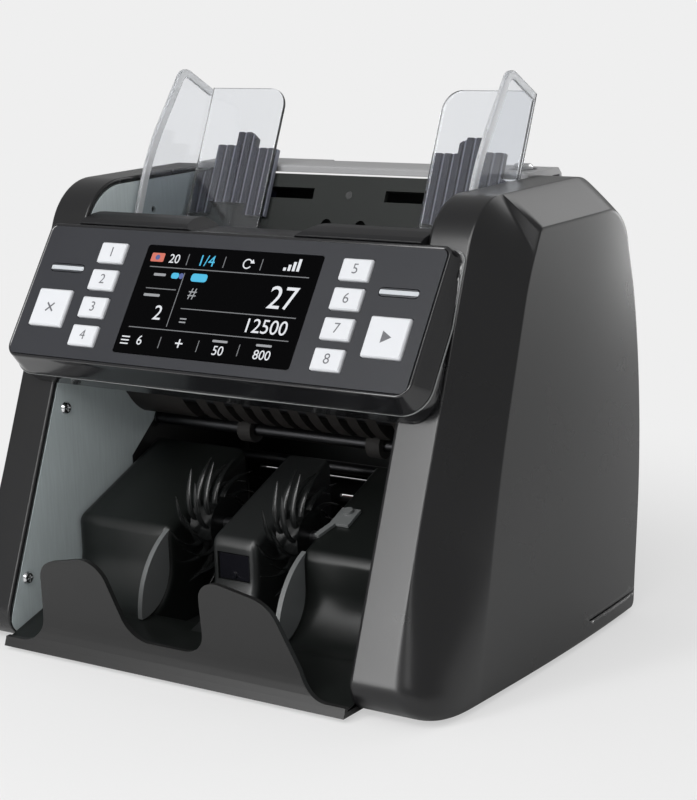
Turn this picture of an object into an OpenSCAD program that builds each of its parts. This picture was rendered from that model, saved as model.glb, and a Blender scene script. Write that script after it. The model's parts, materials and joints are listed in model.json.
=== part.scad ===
// Banknote counting machine: front stacker, sloping key panel, rear hopper.
// Origin under the middle of the machine, on the surface it stands on.
// X points to the machine's left-to-right, Y to its back, Z up. Millimetres.

/* [Body] */
// Width over the side covers at their widest
body_w = 280; // [270:1:340]
// Width of the open stacker, between the side frames
opening_w = 194; // [186:1:210]
// Height of the side covers' top above the ground
body_h = 211; // [200:1:260]
// Distance of the cover's front foot ahead of the middle
front_reach = 98.8; // [90:0.2:110]
// Distance of the rearmost bulge behind the middle
rear_reach = 106; // [98:1:130]
// Angle by which the front strips lean back from upright
front_lean = 21.9; // [12:0.1:28]
// Width of the bright front strip of each side cover
strip_w = 20.6; // [14:0.2:26]
// Wall of the moulded covers
cover_wall = 2.5; // [1.8:0.1:4]
// Gap under the covers
ground_gap = 2; // [1.5:0.5:6]

/* [Panel] */
// Angle by which the key panel leans back from upright
panel_lean = 34.4; // [25:0.1:45]
// Height of the panel's centre
panel_z = 163.8; // [155:0.2:200]
// Distance of the panel's centre ahead of the middle
panel_reach = 47.2; // [44:0.2:60]
// Width of the slate overlay
overlay_w = 222.8; // [212:0.2:230]
// Height of the slate overlay along the slope
overlay_h = 66.8; // [62:0.2:70]
// Width of the display window
window_w = 99; // [90:1:104]
// Height of the display window
window_h = 54.2; // [46:0.2:56]
// Travel of a key
key_travel = 1.2; // [0.8:0.1:1.5]
// Height of a key above the overlay
key_rise = 1.4; // [1:0.1:2.5]

/* [Hopper] */
// Angle by which the guides and the hopper back lean back from upright
hopper_lean = 24.3; // [15:0.1:30]
// Distance from the centre to the outside of a note guide
guide_reach = 95.4; // [90:0.2:96]
// Width of a guide's back wall
guide_w = 49; // [40:1:55]
// Height of a guide above the reference line, along its slope
guide_h = 62; // [45:1:75]
// Depth of a guide's side wall at its deepest
guide_depth = 41; // [32:0.5:45]
// Wall of the clear guides
guide_wall = 2.2; // [1.6:0.1:3]
// Inward travel of each guide
guide_travel = 24; // [15:1:26]

/* [Stacker] */
// Radius of the stacker wheels
wheel_r = 33; // [26:0.5:34]
// Vanes on each wheel
wheel_vanes = 12; // [8:1:14]
// Distance of each wheel from the centre
wheel_x = 25; // [22:0.5:27]
// Width of a wheel over its two rows of vanes
wheel_w = 12; // [8:0.5:16]
// Height of the ramp's front edge
ramp_z = 52.3; // [46:0.1:58]
// Slope of the ramp
ramp_slope = 22.5; // [16:0.1:26]
// Height of the two humps of the front plate
hump_h = 54.5; // [40:0.5:60]
// Height of the dip between the humps
dip_z = 16.5; // [10:0.5:24]
// Height of the front plate beside the humps
foot_z = 6.3; // [5:0.1:12]

/* [Fits] */
// Radius of the roller shafts
shaft_r = 3; // [2.5:0.1:4]
// Radial clearance of a shaft in its bore
shaft_fit = 0.06; // [0.03:0.01:0.1]
// Gap between pieces of one housing
seam = 0.3; // [0.2:0.05:0.5]

/* [Hidden] */
$fn = 48;
eps = 0.01;
arc_step = 9;
half_open = opening_w / 2;
frame_t = 1.5;
frame_in = half_open;
frame_out = half_open + frame_t;
strip_in = half_open + 0.2;
strip_out = strip_in + strip_w;
side_x = body_w / 2;
tray_x = half_open - seam;

// Side outline of the body: a leaning front, a rounded top and a bulging back
front_y0 = -front_reach;
top_r = 30;
foot_r = 10;
heel_r = 5;
back_r = 9;
bulge_r = 505;
bulge_z = 105;

// A point on the leaning front line at height z
function front_y(z) = front_y0 + (z - ground_gap) * tan(front_lean);
// Centre of a circle of radius r that touches the leaning front line at height z
function front_centre(z, r) = front_y(z) + r / cos(front_lean);
// A point on the bulging back at height z, d inside the surface
function back_y(z, d = 0) =
    rear_reach - bulge_r + sqrt(pow(bulge_r - d, 2) - pow(z - bulge_z, 2));

// Placement on the panel: x across, y up the slope, z out of the face
module on_panel() {
    translate([0, -panel_reach, panel_z]) rotate([90 - panel_lean, 0, 0]) children();
}

// Placement on the hopper's slope: x across, y up the slope, z to the front
hopper_y = 54;
hopper_z = 192.5;
module on_hopper() {
    translate([0, hopper_y, hopper_z]) rotate([90 - hopper_lean, 0, 0]) children();
}
// Places a YZ outline across the machine from x0 to x1
module across(x0, x1) {
    translate([x0, 0, 0]) rotate([90, 0, 90]) linear_extrude(x1 - x0) children();
}
module both_sides() {
    children();
    mirror([1, 0, 0]) children();
}
module rod(x0, x1, y, z, r) {
    translate([x0, y, z]) rotate([0, 90, 0]) cylinder(r = r, h = x1 - x0);
}
// A path of corners [x, y, radius], each corner rounded by its own radius
function unit(v) = v / norm(v);
function corner_arc(before, at, after, r) =
    let (u = unit(before - at), v = unit(after - at), half = acos(u * v) / 2)
    let (centre = at + unit(u + v) * r / sin(half), start = at + u * r / tan(half) - centre)
    let (turn = (180 - 2 * half) * sign(u.y * v.x - u.x * v.y), steps = ceil(abs(turn) / arc_step))
    [for (i = [0 : steps]) let (a = atan2(start.y, start.x) + turn * i / steps)
        centre + r * [cos(a), sin(a)]];
function flat(p) = [p.x, p.y];
function rounded(path) = concat(
    [flat(path[0])],
    [for (i = [1 : len(path) - 2])
        each corner_arc(flat(path[i - 1]), flat(path[i]), flat(path[i + 1]), path[i][2])],
    [flat(path[len(path) - 1])]);
module round_rect(w, h, r) {
    offset(r = r, $fn = 24) square([w - 2 * r, h - 2 * r], center = true);
}

// ---- side outline -------------------------------------------------------
module side_outline(inset = 0) {
    offset(delta = -inset) intersection() {
        hull() {
            translate([front_centre(ground_gap + foot_r, foot_r), ground_gap + foot_r])
                circle(foot_r, $fn = 40);
            translate([front_centre(body_h - top_r, top_r), body_h - top_r])
                circle(top_r, $fn = 96);
            translate([back_y(body_h - back_r) - back_r, body_h - back_r])
                circle(back_r, $fn = 32);
            translate([back_y(ground_gap + heel_r) - heel_r, ground_gap + heel_r])
                circle(heel_r, $fn = 24);
            translate([rear_reach - 30, bulge_z]) circle(30, $fn = 24);
        }
        translate([rear_reach - bulge_r, bulge_z]) circle(bulge_r, $fn = 360);
    }
}

// Corners of a side cover's outer face: [x from the centre, y, z]
soft_r = 5;
crease_top_z = body_h - 15;
side_points = [
    [side_x - 3, front_y(ground_gap) + 10, ground_gap],
    [side_x, front_y(ground_gap) + 36, ground_gap],
    [side_x - 1, front_y(85) + 26, 85],
    [side_x - 2, front_y(130) + 26, 130],
    [side_x - 4, front_y(170) + 27, 170],
    [side_x - 6, front_y(crease_top_z - 3) + 24, crease_top_z - 3],
    [side_x - 6, back_y(crease_top_z) - 9, crease_top_z - 2],
    [side_x - 4, back_y(150) - 4, 150],
    [side_x - 3.5, back_y(bulge_z) - 2, bulge_z],
    [side_x - 4, back_y(50) - 2, 50],
    [side_x - 4, back_y(ground_gap) - 2, ground_gap]
];
module cover_body(inset, x_in) {
    hull() {
        across(x_in, strip_out - inset * 0.7) side_outline(inset);
        for (p = side_points)
            translate([p[0] - soft_r, p[1] + soft_r * sign(-p[1]), max(p[2], ground_gap + soft_r)])
                sphere(soft_r - inset, $fn = 20);
    }
}

// Shafts that the frames carry: [y, z]
pickup_at = [14, 149];
feed_at = [44, 134];
exit_at = [24, 87];
stacker_at = [-23, 53];
motor_at = [72, 40];
separation_at = [70.4, 150.2];
hinge_r = 3.2;
door_at = [back_y(48) - hinge_r, 48];
tie_at = [[3, 106], [-30, 128], [60, 62]];

module right_side_cover() {
    color([0.09, 0.09, 0.1]) difference() {
        cover_body(0, strip_in);
        cover_body(cover_wall, strip_in - 1);
        // Narrow groove near the rear foot
        translate([side_x - 6, 40, 9]) cube([8, 46, 1.6]);
    }
}
module left_side_cover() {
    mirror([1, 0, 0]) right_side_cover();
}

module side_frame_plate() {
    across(frame_in, frame_out) difference() {
        side_outline(cover_wall + seam);
        // Cut-out under the panel for the wiring
        translate([-2, 160]) circle(7);
        for (at = [pickup_at, feed_at, exit_at, stacker_at])
            translate(at) circle(shaft_r + shaft_fit, $fn = 64);
        for (p = screw_at) translate(p) circle(1.9);
        for (p = [[28, 193], [36, 187]]) translate(p) circle(1.6);
    }
}
screw_at = [[-44.6, 105.8], [-78.8, 30]];
module right_side_frame() {
    color([0.62, 0.66, 0.68]) difference() {
        side_frame_plate();
        rod(frame_in - 1, frame_out + 1, motor_at[0], motor_at[1], 9);
    }
}
module left_side_frame() {
    color([0.62, 0.66, 0.68]) mirror([1, 0, 0]) side_frame_plate();
}
module frame_screws() {
    color("silver") both_sides() for (p = screw_at) {
        translate([frame_in - 1.4, p[0], p[1]]) rotate([0, 90, 0]) difference() {
            union() {
                cylinder(r1 = 2.4, r2 = 3.2, h = 1.4);
                cylinder(r = 1.6, h = 8);
            }
            for (a = [0, 90]) rotate(a) translate([-1.7, -0.35, -1]) cube([3.4, 0.7, 1.8]);
        }
    }
}
module tie_bars() {
    color("lightgray") for (p = tie_at) rod(-frame_in, frame_in, p[0], p[1], 3);
}

// ---- base ----------------------------------------------------------------
base_t = 2.5;
base_top = ground_gap + base_t;
base_front = -84;
base_back = 90;
foot_x = 78;
foot_y = [-70, 76];
module base_tray() {
    color([0.12, 0.12, 0.13]) difference() {
        union() {
            translate([-tray_x, base_front, ground_gap])
                cube([2 * tray_x, base_back - base_front, base_t]);
            for (s = [-1, 1])
                translate([s * (tray_x - 1.5) - 1.5, ramp_end + seam, ground_gap])
                    cube([3, base_back - ramp_end - seam, 12]);
            translate([-tray_x, base_back - 3, ground_gap]) cube([2 * tray_x, 3, 4.5]);
            // Posts that carry the motor and the boards
            for (p = board_posts) translate([p[0], p[1], ground_gap]) cylinder(r = 3.5, h = 8);
        }
        for (s = [-1, 1]) for (y = foot_y)
            translate([s * foot_x, y, ground_gap - 1]) cylinder(r = 2.6, h = base_t + 2);
        for (y = [-20 : 12 : 28]) translate([-30, y, ground_gap - 1]) cube([60, 4, base_t + 2]);
    }
}
board_posts = [[-84, 26], [-26, 26], [-84, 80], [-26, 80]];
module rubber_feet() {
    color([0.1, 0.1, 0.1]) for (s = [-1, 1]) for (y = foot_y) translate([s * foot_x, y, 0]) {
        cylinder(r1 = 7.4, r2 = 8, h = ground_gap);
        cylinder(r = 2.4, h = base_top - seam);
    }
}

// ---- control panel --------------------------------------------------------
rim = 1.8;
bezel_w = overlay_w + 2 * rim;
bezel_h = overlay_h + 2 * rim;
bezel_fall = 12;
bezel_spread = 3.4;
bezel_drop = 3.6;
plate_t = 2.5;
overlay_t = 1;
key_gap = 0.35;
// Keys: [x, y up the slope, width, height]
small_key = [15.6, 10.5];
large_key = [20.3, 19];
key_rows = [20.8, 6.8, -7.4, -21.8];
small_x = 68.8;
large_x = 94.4;
large_y = -9.3;
light_at = [93.5, 11.8];
window_at = [0.5, -0.7];
key_places = concat(
    [for (s = [-1, 1]) for (y = key_rows) [s * small_x, y, small_key[0], small_key[1]]],
    [for (s = [-1, 1]) [s * large_x, large_y, large_key[0], large_key[1]]]);

module panel_holes(grow) {
    for (k = key_places) translate([k[0], k[1]])
        round_rect(k[2] + 2 * grow, k[3] + 2 * grow, 0.8 + grow);
    translate(window_at) round_rect(window_w + 2 * grow, window_h + 2 * grow, 1.2 + grow);
    for (s = [-1, 1]) translate([s * light_at[0], light_at[1]])
        round_rect(20 + 2 * grow, 3.8 + 2 * grow, 1.8 + grow);
}
// Outline of the bezel, with tighter corners at the top than at the bottom
module bezel_outline(w, low, high, r_low, r_high) {
    hull() for (s = [-1, 1]) {
        translate([s * (w / 2 - r_low), r_low - low]) circle(r_low, $fn = 36);
        translate([s * (w / 2 - r_high), high - r_high]) circle(r_high, $fn = 24);
    }
}
module bezel_form(inset) {
    w = bezel_w - 2 * inset;
    h = bezel_h / 2 - inset;
    hull() {
        translate([0, 0, -eps - inset * 1.4]) linear_extrude(eps)
            bezel_outline(w, h, h, 7, 4.5);
        translate([0, 0, -bezel_fall]) linear_extrude(eps)
            bezel_outline(w + 2 * bezel_spread, h + bezel_drop, h, 13, 5);
    }
    translate([0, 0, -bezel_fall - 16]) linear_extrude(16 + 2 * eps)
        bezel_outline(w + 2 * bezel_spread, h + bezel_drop, h, 13, 5);
}
module panel_bezel() {
    color([0.07, 0.07, 0.08]) difference() {
        on_panel() difference() {
            bezel_form(0);
            bezel_form(plate_t);
            // Seat of the overlay and holes behind it
            translate([0, 0, -overlay_t - 0.1]) linear_extrude(3)
                round_rect(overlay_w + 0.3, overlay_h + 0.3, 3.6);
            translate([0, 0, -8]) linear_extrude(8) panel_holes(key_gap);
        }
        // The back follows the leaning strips
        across(-side_x, side_x) polygon([
            [front_y(60) - seam, 60], [front_y(230) - seam, 230], [160, 230], [160, 60]]);
    }
}
module panel_overlay() {
    color([0.25, 0.26, 0.29]) on_panel() translate([0, 0, -overlay_t])
        linear_extrude(overlay_t) difference() {
            round_rect(overlay_w, overlay_h, 3.5);
            panel_holes(key_gap);
        }
}
module display_window() {
    color([0.03, 0.03, 0.04]) on_panel() translate([window_at[0], window_at[1], -1.1])
        linear_extrude(1.1) round_rect(window_w, window_h, 1.2);
}
module display_module() {
    color([0.3, 0.3, 0.32]) on_panel() translate([window_at[0], window_at[1], -7]) {
        linear_extrude(5.6) difference() {
            square([window_w - 1, window_h - 1], center = true);
            for (s = [-1, 1]) translate([s * (window_w / 2), 0]) circle(2);
        }
    }
}
module light_bars() {
    color([0.85, 0.86, 0.88]) on_panel() for (s = [-1, 1])
        translate([s * light_at[0], light_at[1], -4]) linear_extrude(4.15)
            round_rect(20, 3.8, 1.8);
}
key_foot = -6.8;
switch_h = 2.2;
board_top = key_foot - key_travel - switch_h - 0.2;
stem_x = 3.6;
stem_r = 1.6;
flange_z = -4.9;
flange_t = 1;
skirt_z = flange_z + flange_t / 2;
key_crown = 0.7;
module keypad_board() {
    color([0.1, 0.35, 0.2]) on_panel() {
        difference() {
            translate([0, -4, board_top - 0.8]) cube([2 * half_open - 1.4, 52, 1.6], center = true);
            for (s = [-1, 1]) translate([s * 84, -25, board_top - 3]) cylinder(r = 1.7, h = 4);
        }
        // Push switches under the keys
        for (k = key_places) translate([switch_x(k), k[1], board_top])
            cylinder(r = 2.4, h = switch_h);
    }
}
// A large key presses its switch a little nearer the middle
function switch_x(k) = abs(k[0]) > 80 ? k[0] - sign(k[0]) * stem_x : k[0];
module key_cap(k) {
    color([0.88, 0.88, 0.9]) on_panel() translate([k[0], k[1], 0]) {
        hull() {
            translate([0, 0, key_rise - eps]) linear_extrude(eps)
                round_rect(k[2] - 1.4, k[3] - 1.4, 0.8);
            translate([0, 0, skirt_z]) linear_extrude(key_rise - key_crown - skirt_z)
                round_rect(k[2], k[3], 0.8);
        }
        translate([0, 0, flange_z]) linear_extrude(flange_t)
            round_rect(k[2] + 2, k[3] + 1.6, 0.8);
        translate([switch_x(k) - k[0], 0, key_foot]) cylinder(r = stem_r, h = skirt_z - 0.2 - key_foot);
    }
}
module key_left_1() { key_cap(key_places[0]); }
module key_left_2() { key_cap(key_places[1]); }
module key_left_3() { key_cap(key_places[2]); }
module key_left_4() { key_cap(key_places[3]); }
module key_right_1() { key_cap(key_places[4]); }
module key_right_2() { key_cap(key_places[5]); }
module key_right_3() { key_cap(key_places[6]); }
module key_right_4() { key_cap(key_places[7]); }
module key_left_large() { key_cap(key_places[8]); }
module key_right_large() { key_cap(key_places[9]); }

// ---- hopper ---------------------------------------------------------------
lip_y = -9;
lip_z = 196.8;
floor_z = 159.5;
notch_x = 28.5;
notch_drop = 4.8;
module hopper_section() {
    // Roll above the panel, the front wall and the floor behind it
    offset(r = 0.6, $fn = 24) offset(delta = -0.6) polygon([
        [-27.6, lip_z - 3.4], [-24, lip_z - 1.8], [-17, lip_z - 0.3], [-12, lip_z],
        [lip_y + 1, lip_z - 0.4], [lip_y + 3.4, lip_z - 3], [lip_y + 3.4, floor_z + 6],
        [lip_y + 8, floor_z + 0.8], [37, floor_z + 0.8], [37, floor_z - 1.8],
        [lip_y + 6, floor_z - 1.8], [lip_y + 0.8, floor_z + 4], [lip_y + 0.8, lip_z - 11],
        [-15, lip_z - 9.5], [-24, lip_z - 5.5]]);
}
roller_x = 26;
notch_shoulder = 7.5;
module hopper() {
    color([0.1, 0.1, 0.11]) difference() {
        across(-tray_x, tray_x) hopper_section();
        // Finger notch with sloping shoulders
        translate([0, 20, lip_z]) rotate([90, 0, 0]) linear_extrude(60) polygon([
            [-notch_x, -notch_drop], [notch_x, -notch_drop],
            [notch_x + notch_shoulder * 1.3, notch_drop * 0.3 + 1],
            [-notch_x - notch_shoulder * 1.3, notch_drop * 0.3 + 1]]);
        // Windows for the pick-up wheels
        for (s = [-1, 1]) translate([s * roller_x - 8, pickup_at[0] - 14, floor_z - 8])
            cube([16, 28, 16]);
    }
}
plate_back = -6;
plate_front = -3.6;
plate_top = 19.4;
slot_y = [6.8, 12.4];
arm_in = 3;
arm_w = 9;
slot_x = [guide_reach - guide_w + arm_in - guide_travel - 4.4, 90];
module hopper_back_plate() {
    color([0.16, 0.17, 0.17]) on_hopper() difference() {
        translate([-tray_x, -37, plate_back])
            cube([2 * tray_x, 37 + plate_top, plate_front - plate_back]);
        for (s = [-1, 1]) translate([s > 0 ? slot_x[0] : -slot_x[1], slot_y[0], plate_back - 1])
            cube([slot_x[1] - slot_x[0], slot_y[1] - slot_y[0], 5]);
        for (s = [-1, 1]) translate([s * 10, -6, plate_back - 1]) cylinder(r = 3, h = 5);
        translate([0, slot_mid, plate_back - 1]) cylinder(r = 2, h = 5);
    }
}
slot_mid = (slot_y[0] + slot_y[1]) / 2;

// Clear L-shaped guide: a back wall and a side wall with a swept front corner
guide_foot = 165;
guide_corner = 10;
// Side wall seen from the side: [height up the slope, distance in front of the slope, radius]
guide_side = [
    [-60, guide_depth - 12.9],
    [guide_h - 19.8, guide_depth + 1.7, 41],
    [guide_h + 3.9, guide_depth - 16, 17.6],
    [guide_h - 0.9, 0]
];
module guide_form() {
    x0 = guide_reach - guide_w;
    on_hopper() translate([x0, -28, 0]) linear_extrude(guide_wall) difference() {
        square([guide_w, guide_h + 28]);
        translate([-eps, guide_h + 28 - guide_corner]) difference() {
            square([guide_corner, guide_corner + eps]);
            translate([guide_corner + eps, 0]) circle(guide_corner);
        }
    }
    intersection() {
        on_hopper() translate([guide_reach - guide_wall, 0, 0]) rotate([0, 90, 0])
            linear_extrude(guide_wall)
                polygon([for (p = concat([[-60, 0]], rounded(guide_side))) [-p.y, p.x]]);
        translate([0, -20, guide_foot]) cube([120, 120, 120]);
    }
}
module right_guide() { color([0.8, 0.85, 0.92, 0.35]) guide_form(); }
module left_guide() { mirror([1, 0, 0]) right_guide(); }

// Gear data of the guide drive
gear_m = 1;
pinion_teeth = 10;
pinion_r = gear_m * pinion_teeth / 2;
tooth_slack = 0.25;
rack_n = [-11.5, -7];
rack_bar = 3;
// One trapezoid tooth, root at y = 0 and tip at y = h
module tooth(h) {
    b = gear_m * PI / 4 - tooth_slack / 2;
    s = tan(20) * h / 2;
    polygon([[-b - s, -0.5], [-b - s, 0], [-b + s, h], [b - s, h], [b + s, 0], [b + s, -0.5]]);
}
module rack(x0, teeth) {
    // Bar with teeth along +Y; the first tooth is centred on x0
    pitch = gear_m * PI;
    translate([x0 - pitch / 2, -rack_bar]) square([teeth * pitch, rack_bar]);
    for (i = [0 : teeth - 1]) translate([x0 + i * pitch, 0]) tooth(gear_m * 1.7);
}
module guide_pinion() {
    color("white") on_hopper() translate([0, slot_mid, rack_n[0]]) {
        linear_extrude(rack_n[1] - rack_n[0]) difference() {
            union() {
                circle(pinion_r - gear_m, $fn = 64);
                for (i = [0 : pinion_teeth - 1]) rotate(i * 360 / pinion_teeth)
                    translate([0, pinion_r - gear_m]) tooth(gear_m * 1.7);
            }
        }
        translate([0, 0, rack_n[1] - rack_n[0] - eps]) cylinder(r = 2 - shaft_fit, h = 3.4);
    }
}
rib_pitch = 5.2;
// Ribbed carriage behind the clear wall, with the arm and rack that move both guides
module carriage(rack_side) {
    x0 = guide_reach - guide_w;
    on_hopper() {
        difference() {
            translate([x0, -4, plate_front + seam]) linear_extrude(-plate_front - seam - 0.9)
                carriage_outline();
            translate([x0 + 12, -6, -4]) cube([guide_w - 26, 8, 5]);
        }
        intersection() {
            for (i = [0 : 8]) translate([x0 + 1 + i * rib_pitch, -6, -1])
                cube([3.4, 60, 1 - 0.1]);
            translate([x0, -4, -2]) linear_extrude(3) difference() {
                carriage_outline();
                translate([12, -2]) square([guide_w - 26, 8]);
            }
        }
        // Arm through the slot
        translate([x0 + arm_in, slot_y[0] + 0.4, rack_n[0]])
            cube([arm_w, slot_y[1] - slot_y[0] - 0.8, plate_front + seam - rack_n[0] + eps]);
        // Plate that carries the rack
        translate([x0 + arm_in, rack_side > 0 ? slot_mid - 2.4 : slot_mid - rack_gap - rack_bar,
            rack_n[0]])
            cube([arm_w, rack_gap + 2.4 + rack_bar, rack_n[1] - rack_n[0]]);
        translate([0, slot_mid, rack_n[0]]) linear_extrude(rack_n[1] - rack_n[0])
            if (rack_side > 0) rack_upper(x0); else rack_lower(x0);
    }
}
rack_gap = pinion_r + gear_m * 0.85 + 0.1;
rack_teeth = 17;
module rack_upper(x0) {
    mirror([0, 1]) translate([0, -rack_gap]) mirror([1, 0])
        rack(-gear_m * PI * 16.5 + gear_m * PI, rack_teeth);
}
module rack_lower(x0) {
    translate([0, -rack_gap]) mirror([1, 0])
        rack(-gear_m * PI * 16.5 + gear_m * PI, rack_teeth);
}
module carriage_outline() {
    polygon([[0, 0], [0, 35], [13, 35], [13, 40], [17, 43], [25, 43], [25, 36], [37, 36],
        [37, 24], [46, 20], [46, 0]]);
}
module right_guide_carriage() { color([0.12, 0.13, 0.2]) carriage(1); }
module left_guide_carriage() { color([0.12, 0.13, 0.2]) mirror([1, 0, 0]) carriage(-1); }

lid_front = 67.4;
lid_back = 99;
lid_top = body_h + 1.6;
knob_at = [84, 84];
module top_lid() {
    color([0.15, 0.15, 0.16]) difference() {
        across(-strip_in + seam, strip_in - seam) polygon([
            [lid_front, lid_top - 3.4], [lid_front, lid_top - 0.6], [lid_front + 1, lid_top],
            [lid_back - 3, lid_top], [lid_back, lid_top - 3], [lid_back, lid_top - 5.5],
            [lid_back - 2.2, lid_top - 5.5], [lid_back - 2.2, lid_top - 3.4]]);
        // Finger recess at the rear edge and the dished seat of the knob
        translate([-32, lid_back - 7, lid_top - 1.6]) cube([64, 12, 4]);
        translate([knob_at[0], knob_at[1], lid_top - 1.2]) cylinder(r = 7, h = 3);
        translate([knob_at[0], knob_at[1], 190]) cylinder(r = 2 + shaft_fit, h = 40, $fn = 64);
    }
}
module gap_knob() {
    color("silver") translate([knob_at[0], knob_at[1], 0]) {
        difference() {
            translate([0, 0, lid_top - 0.9]) union() {
                cylinder(r = 5, h = 2.4);
                translate([0, 0, 2.39]) cylinder(r1 = 5, r2 = 4.2, h = 0.8);
            }
            translate([-4, -0.6, lid_top + 1.2]) cube([8, 1.2, 4]);
        }
        translate([0, 0, 186]) cylinder(r = 2, h = lid_top - 186.5, $fn = 64);
    }
}
module separation_rollers() {
    color([0.2, 0.2, 0.2]) {
        rod(-frame_in, frame_in, separation_at[0], separation_at[1], 2.5);
        for (s = [-1, 1]) rod(s * roller_x - 6, s * roller_x + 6,
            separation_at[0], separation_at[1], 12);
    }
}

// ---- rollers and drive -------------------------------------------------------
ring_r = shaft_r + 1.6;
pulley_x = 101.5;
belt_w = 5;
module shaft(at, left, right) {
    rod(-frame_out - left, frame_out + right, at[0], at[1], shaft_r);
    // Retaining rings inside each frame
    both_sides() rod(frame_in - 2, frame_in - 0.8, at[0], at[1], ring_r);
}
module pulley(at, x, r) {
    rod(x, x + belt_w + 1, at[0], at[1], r);
    rod(x - 0.8, x, at[0], at[1], r + 1.4);
    rod(x + belt_w + 1, x + belt_w + 1.8, at[0], at[1], r + 1.4);
}
feed_pulley_r = 11;
motor_pulley_r = 6;
exit_pulley_r = 7;
second_pulley_r = 9;
second_x = pulley_x + belt_w + 4;
pickup_pulley_r = 5;
third_pulley_r = 7.2;
left_belt_x = frame_out + 1.4;
left_belt_end = 10;
stacker_shaft_end = 14;
stacker_motor_r = 15;
stacker_motor_l = 24;
module feed_shaft() {
    color("silver") {
        shaft(feed_at, left_belt_end, 20);
        pulley(feed_at, pulley_x, feed_pulley_r);
        pulley(feed_at, second_x, second_pulley_r);
        mirror([1, 0, 0]) pulley(feed_at, left_belt_x, third_pulley_r);
    }
}
module feed_rollers() {
    color([0.25, 0.2, 0.18]) for (s = [-1, 1]) difference() {
        rod(s * roller_x - 7, s * roller_x + 7, feed_at[0], feed_at[1], 18);
        rod(s * roller_x - 8, s * roller_x + 8, feed_at[0], feed_at[1], shaft_r);
        for (a = [0 : 60 : 300]) translate([s * roller_x - 8, feed_at[0], feed_at[1]])
            rotate([a, 0, 0]) translate([0, 10.5, 0]) rotate([0, 90, 0]) cylinder(r = 2.6, h = 16);
    }
}
module pickup_shaft() {
    color("silver") {
        shaft(pickup_at, left_belt_end, 4);
        mirror([1, 0, 0]) pulley(pickup_at, left_belt_x, pickup_pulley_r);
    }
}
module pickup_rollers() {
    color([0.25, 0.2, 0.18]) for (s = [-1, 1]) difference() {
        rod(s * roller_x - 6, s * roller_x + 6, pickup_at[0], pickup_at[1], 12.5);
        rod(s * roller_x - 7, s * roller_x + 7, pickup_at[0], pickup_at[1], shaft_r);
    }
}
exit_x = 38;
module exit_shaft() {
    color("silver") {
        shaft(exit_at, 2, 20);
        pulley(exit_at, second_x, exit_pulley_r);
    }
}
module exit_rollers() {
    color([0.3, 0.3, 0.3]) for (s = [-1, 1]) difference() {
        rod(s * exit_x - 4, s * exit_x + 4, exit_at[0], exit_at[1], 6.5);
        rod(s * exit_x - 5, s * exit_x + 5, exit_at[0], exit_at[1], shaft_r);
    }
}
module stacker_shaft() {
    color("silver") shaft(stacker_at, stacker_shaft_end, 2);
}
// Small motor on the left frame that turns the stacker shaft directly
module stacker_motor() {
    color([0.5, 0.5, 0.52]) difference() {
        union() {
            rod(-frame_out - stacker_motor_l, -frame_out, stacker_at[0], stacker_at[1],
                stacker_motor_r);
            rod(-frame_out - stacker_motor_l - 3, -frame_out, stacker_at[0], stacker_at[1], 5);
        }
        rod(-frame_out - stacker_shaft_end - 1, 0, stacker_at[0], stacker_at[1],
            shaft_r + shaft_fit);
    }
}
// One curved vane: the crescent between two circles, pointed at the rim, rooted on the hub
hub_r = 17;
vane_t = 4.4;
vane_outer = [-0.01, 0.32, 0.71];
vane_inner = [0.29, 0.33, 0.91];
module vane() {
    difference() {
        translate(wheel_r * flat(vane_outer)) circle(wheel_r * vane_outer[2], $fn = 96);
        translate(wheel_r * flat(vane_inner)) circle(wheel_r * vane_inner[2], $fn = 96);
        circle(hub_r - 1);
    }
}
module wheel_row(turn) {
    rotate(turn) for (i = [0 : wheel_vanes - 1]) rotate(i * 360 / wheel_vanes) vane();
}
module stacker_wheels() {
    color([0.3, 0.32, 0.32]) for (s = [-1, 1])
        translate([s * wheel_x, stacker_at[0], stacker_at[1]]) rotate([90, 0, 90]) difference() {
            union() {
                translate([0, 0, -wheel_w / 2]) cylinder(r = hub_r, h = wheel_w);
                for (k = [0, 1]) translate([0, 0, -wheel_w / 2 + k * (wheel_w - vane_t)])
                    linear_extrude(vane_t) wheel_row((k - 1) * 180 / wheel_vanes);
            }
            translate([0, 0, -wheel_w]) cylinder(r = shaft_r, h = 2 * wheel_w);
        }
}
motor_r = 21;
motor_x = [22, 88];
module main_motor() {
    color([0.5, 0.5, 0.52]) {
        rod(motor_x[0], motor_x[1], motor_at[0], motor_at[1], motor_r);
        rod(motor_x[1], frame_in, motor_at[0], motor_at[1], 8.6);
        // Cradle down to the base
        translate([motor_x[0] + 12, motor_at[0] - 13, ground_gap + base_t])
            cube([40, 26, motor_at[1] - motor_r * 0.75 - ground_gap - base_t]);
    }
}
module motor_pulley() {
    color("gainsboro") {
        rod(frame_in + 0.4, pulley_x, motor_at[0], motor_at[1], 2.5);
        pulley(motor_at, pulley_x, motor_pulley_r);
    }
}
// A flat belt round two pulleys: the outer line less the inner line
module belt(a, ra, b, rb, x) {
    across(x + 0.5, x + belt_w + 0.5) difference() {
        belt_line(a, ra + 0.3 + 1.2, b, rb + 0.3 + 1.2);
        belt_line(a, ra + 0.3, b, rb + 0.3);
    }
}
module belt_line(a, ra, b, rb) {
    hull() {
        translate(a) circle(ra, $fn = 72);
        translate(b) circle(rb, $fn = 72);
    }
}
module drive_belts() {
    color([0.13, 0.13, 0.13]) {
        belt(motor_at, motor_pulley_r, feed_at, feed_pulley_r, pulley_x);
        belt(feed_at, second_pulley_r, exit_at, exit_pulley_r, second_x);
        mirror([1, 0, 0]) belt(feed_at, third_pulley_r, pickup_at, pickup_pulley_r, left_belt_x);
    }
}

// ---- sensors and exit -----------------------------------------------------------
path_at = [59.2, 124.4];
path_lean = 32.3;
bar_len = 20;
bar_t = 12;
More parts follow.
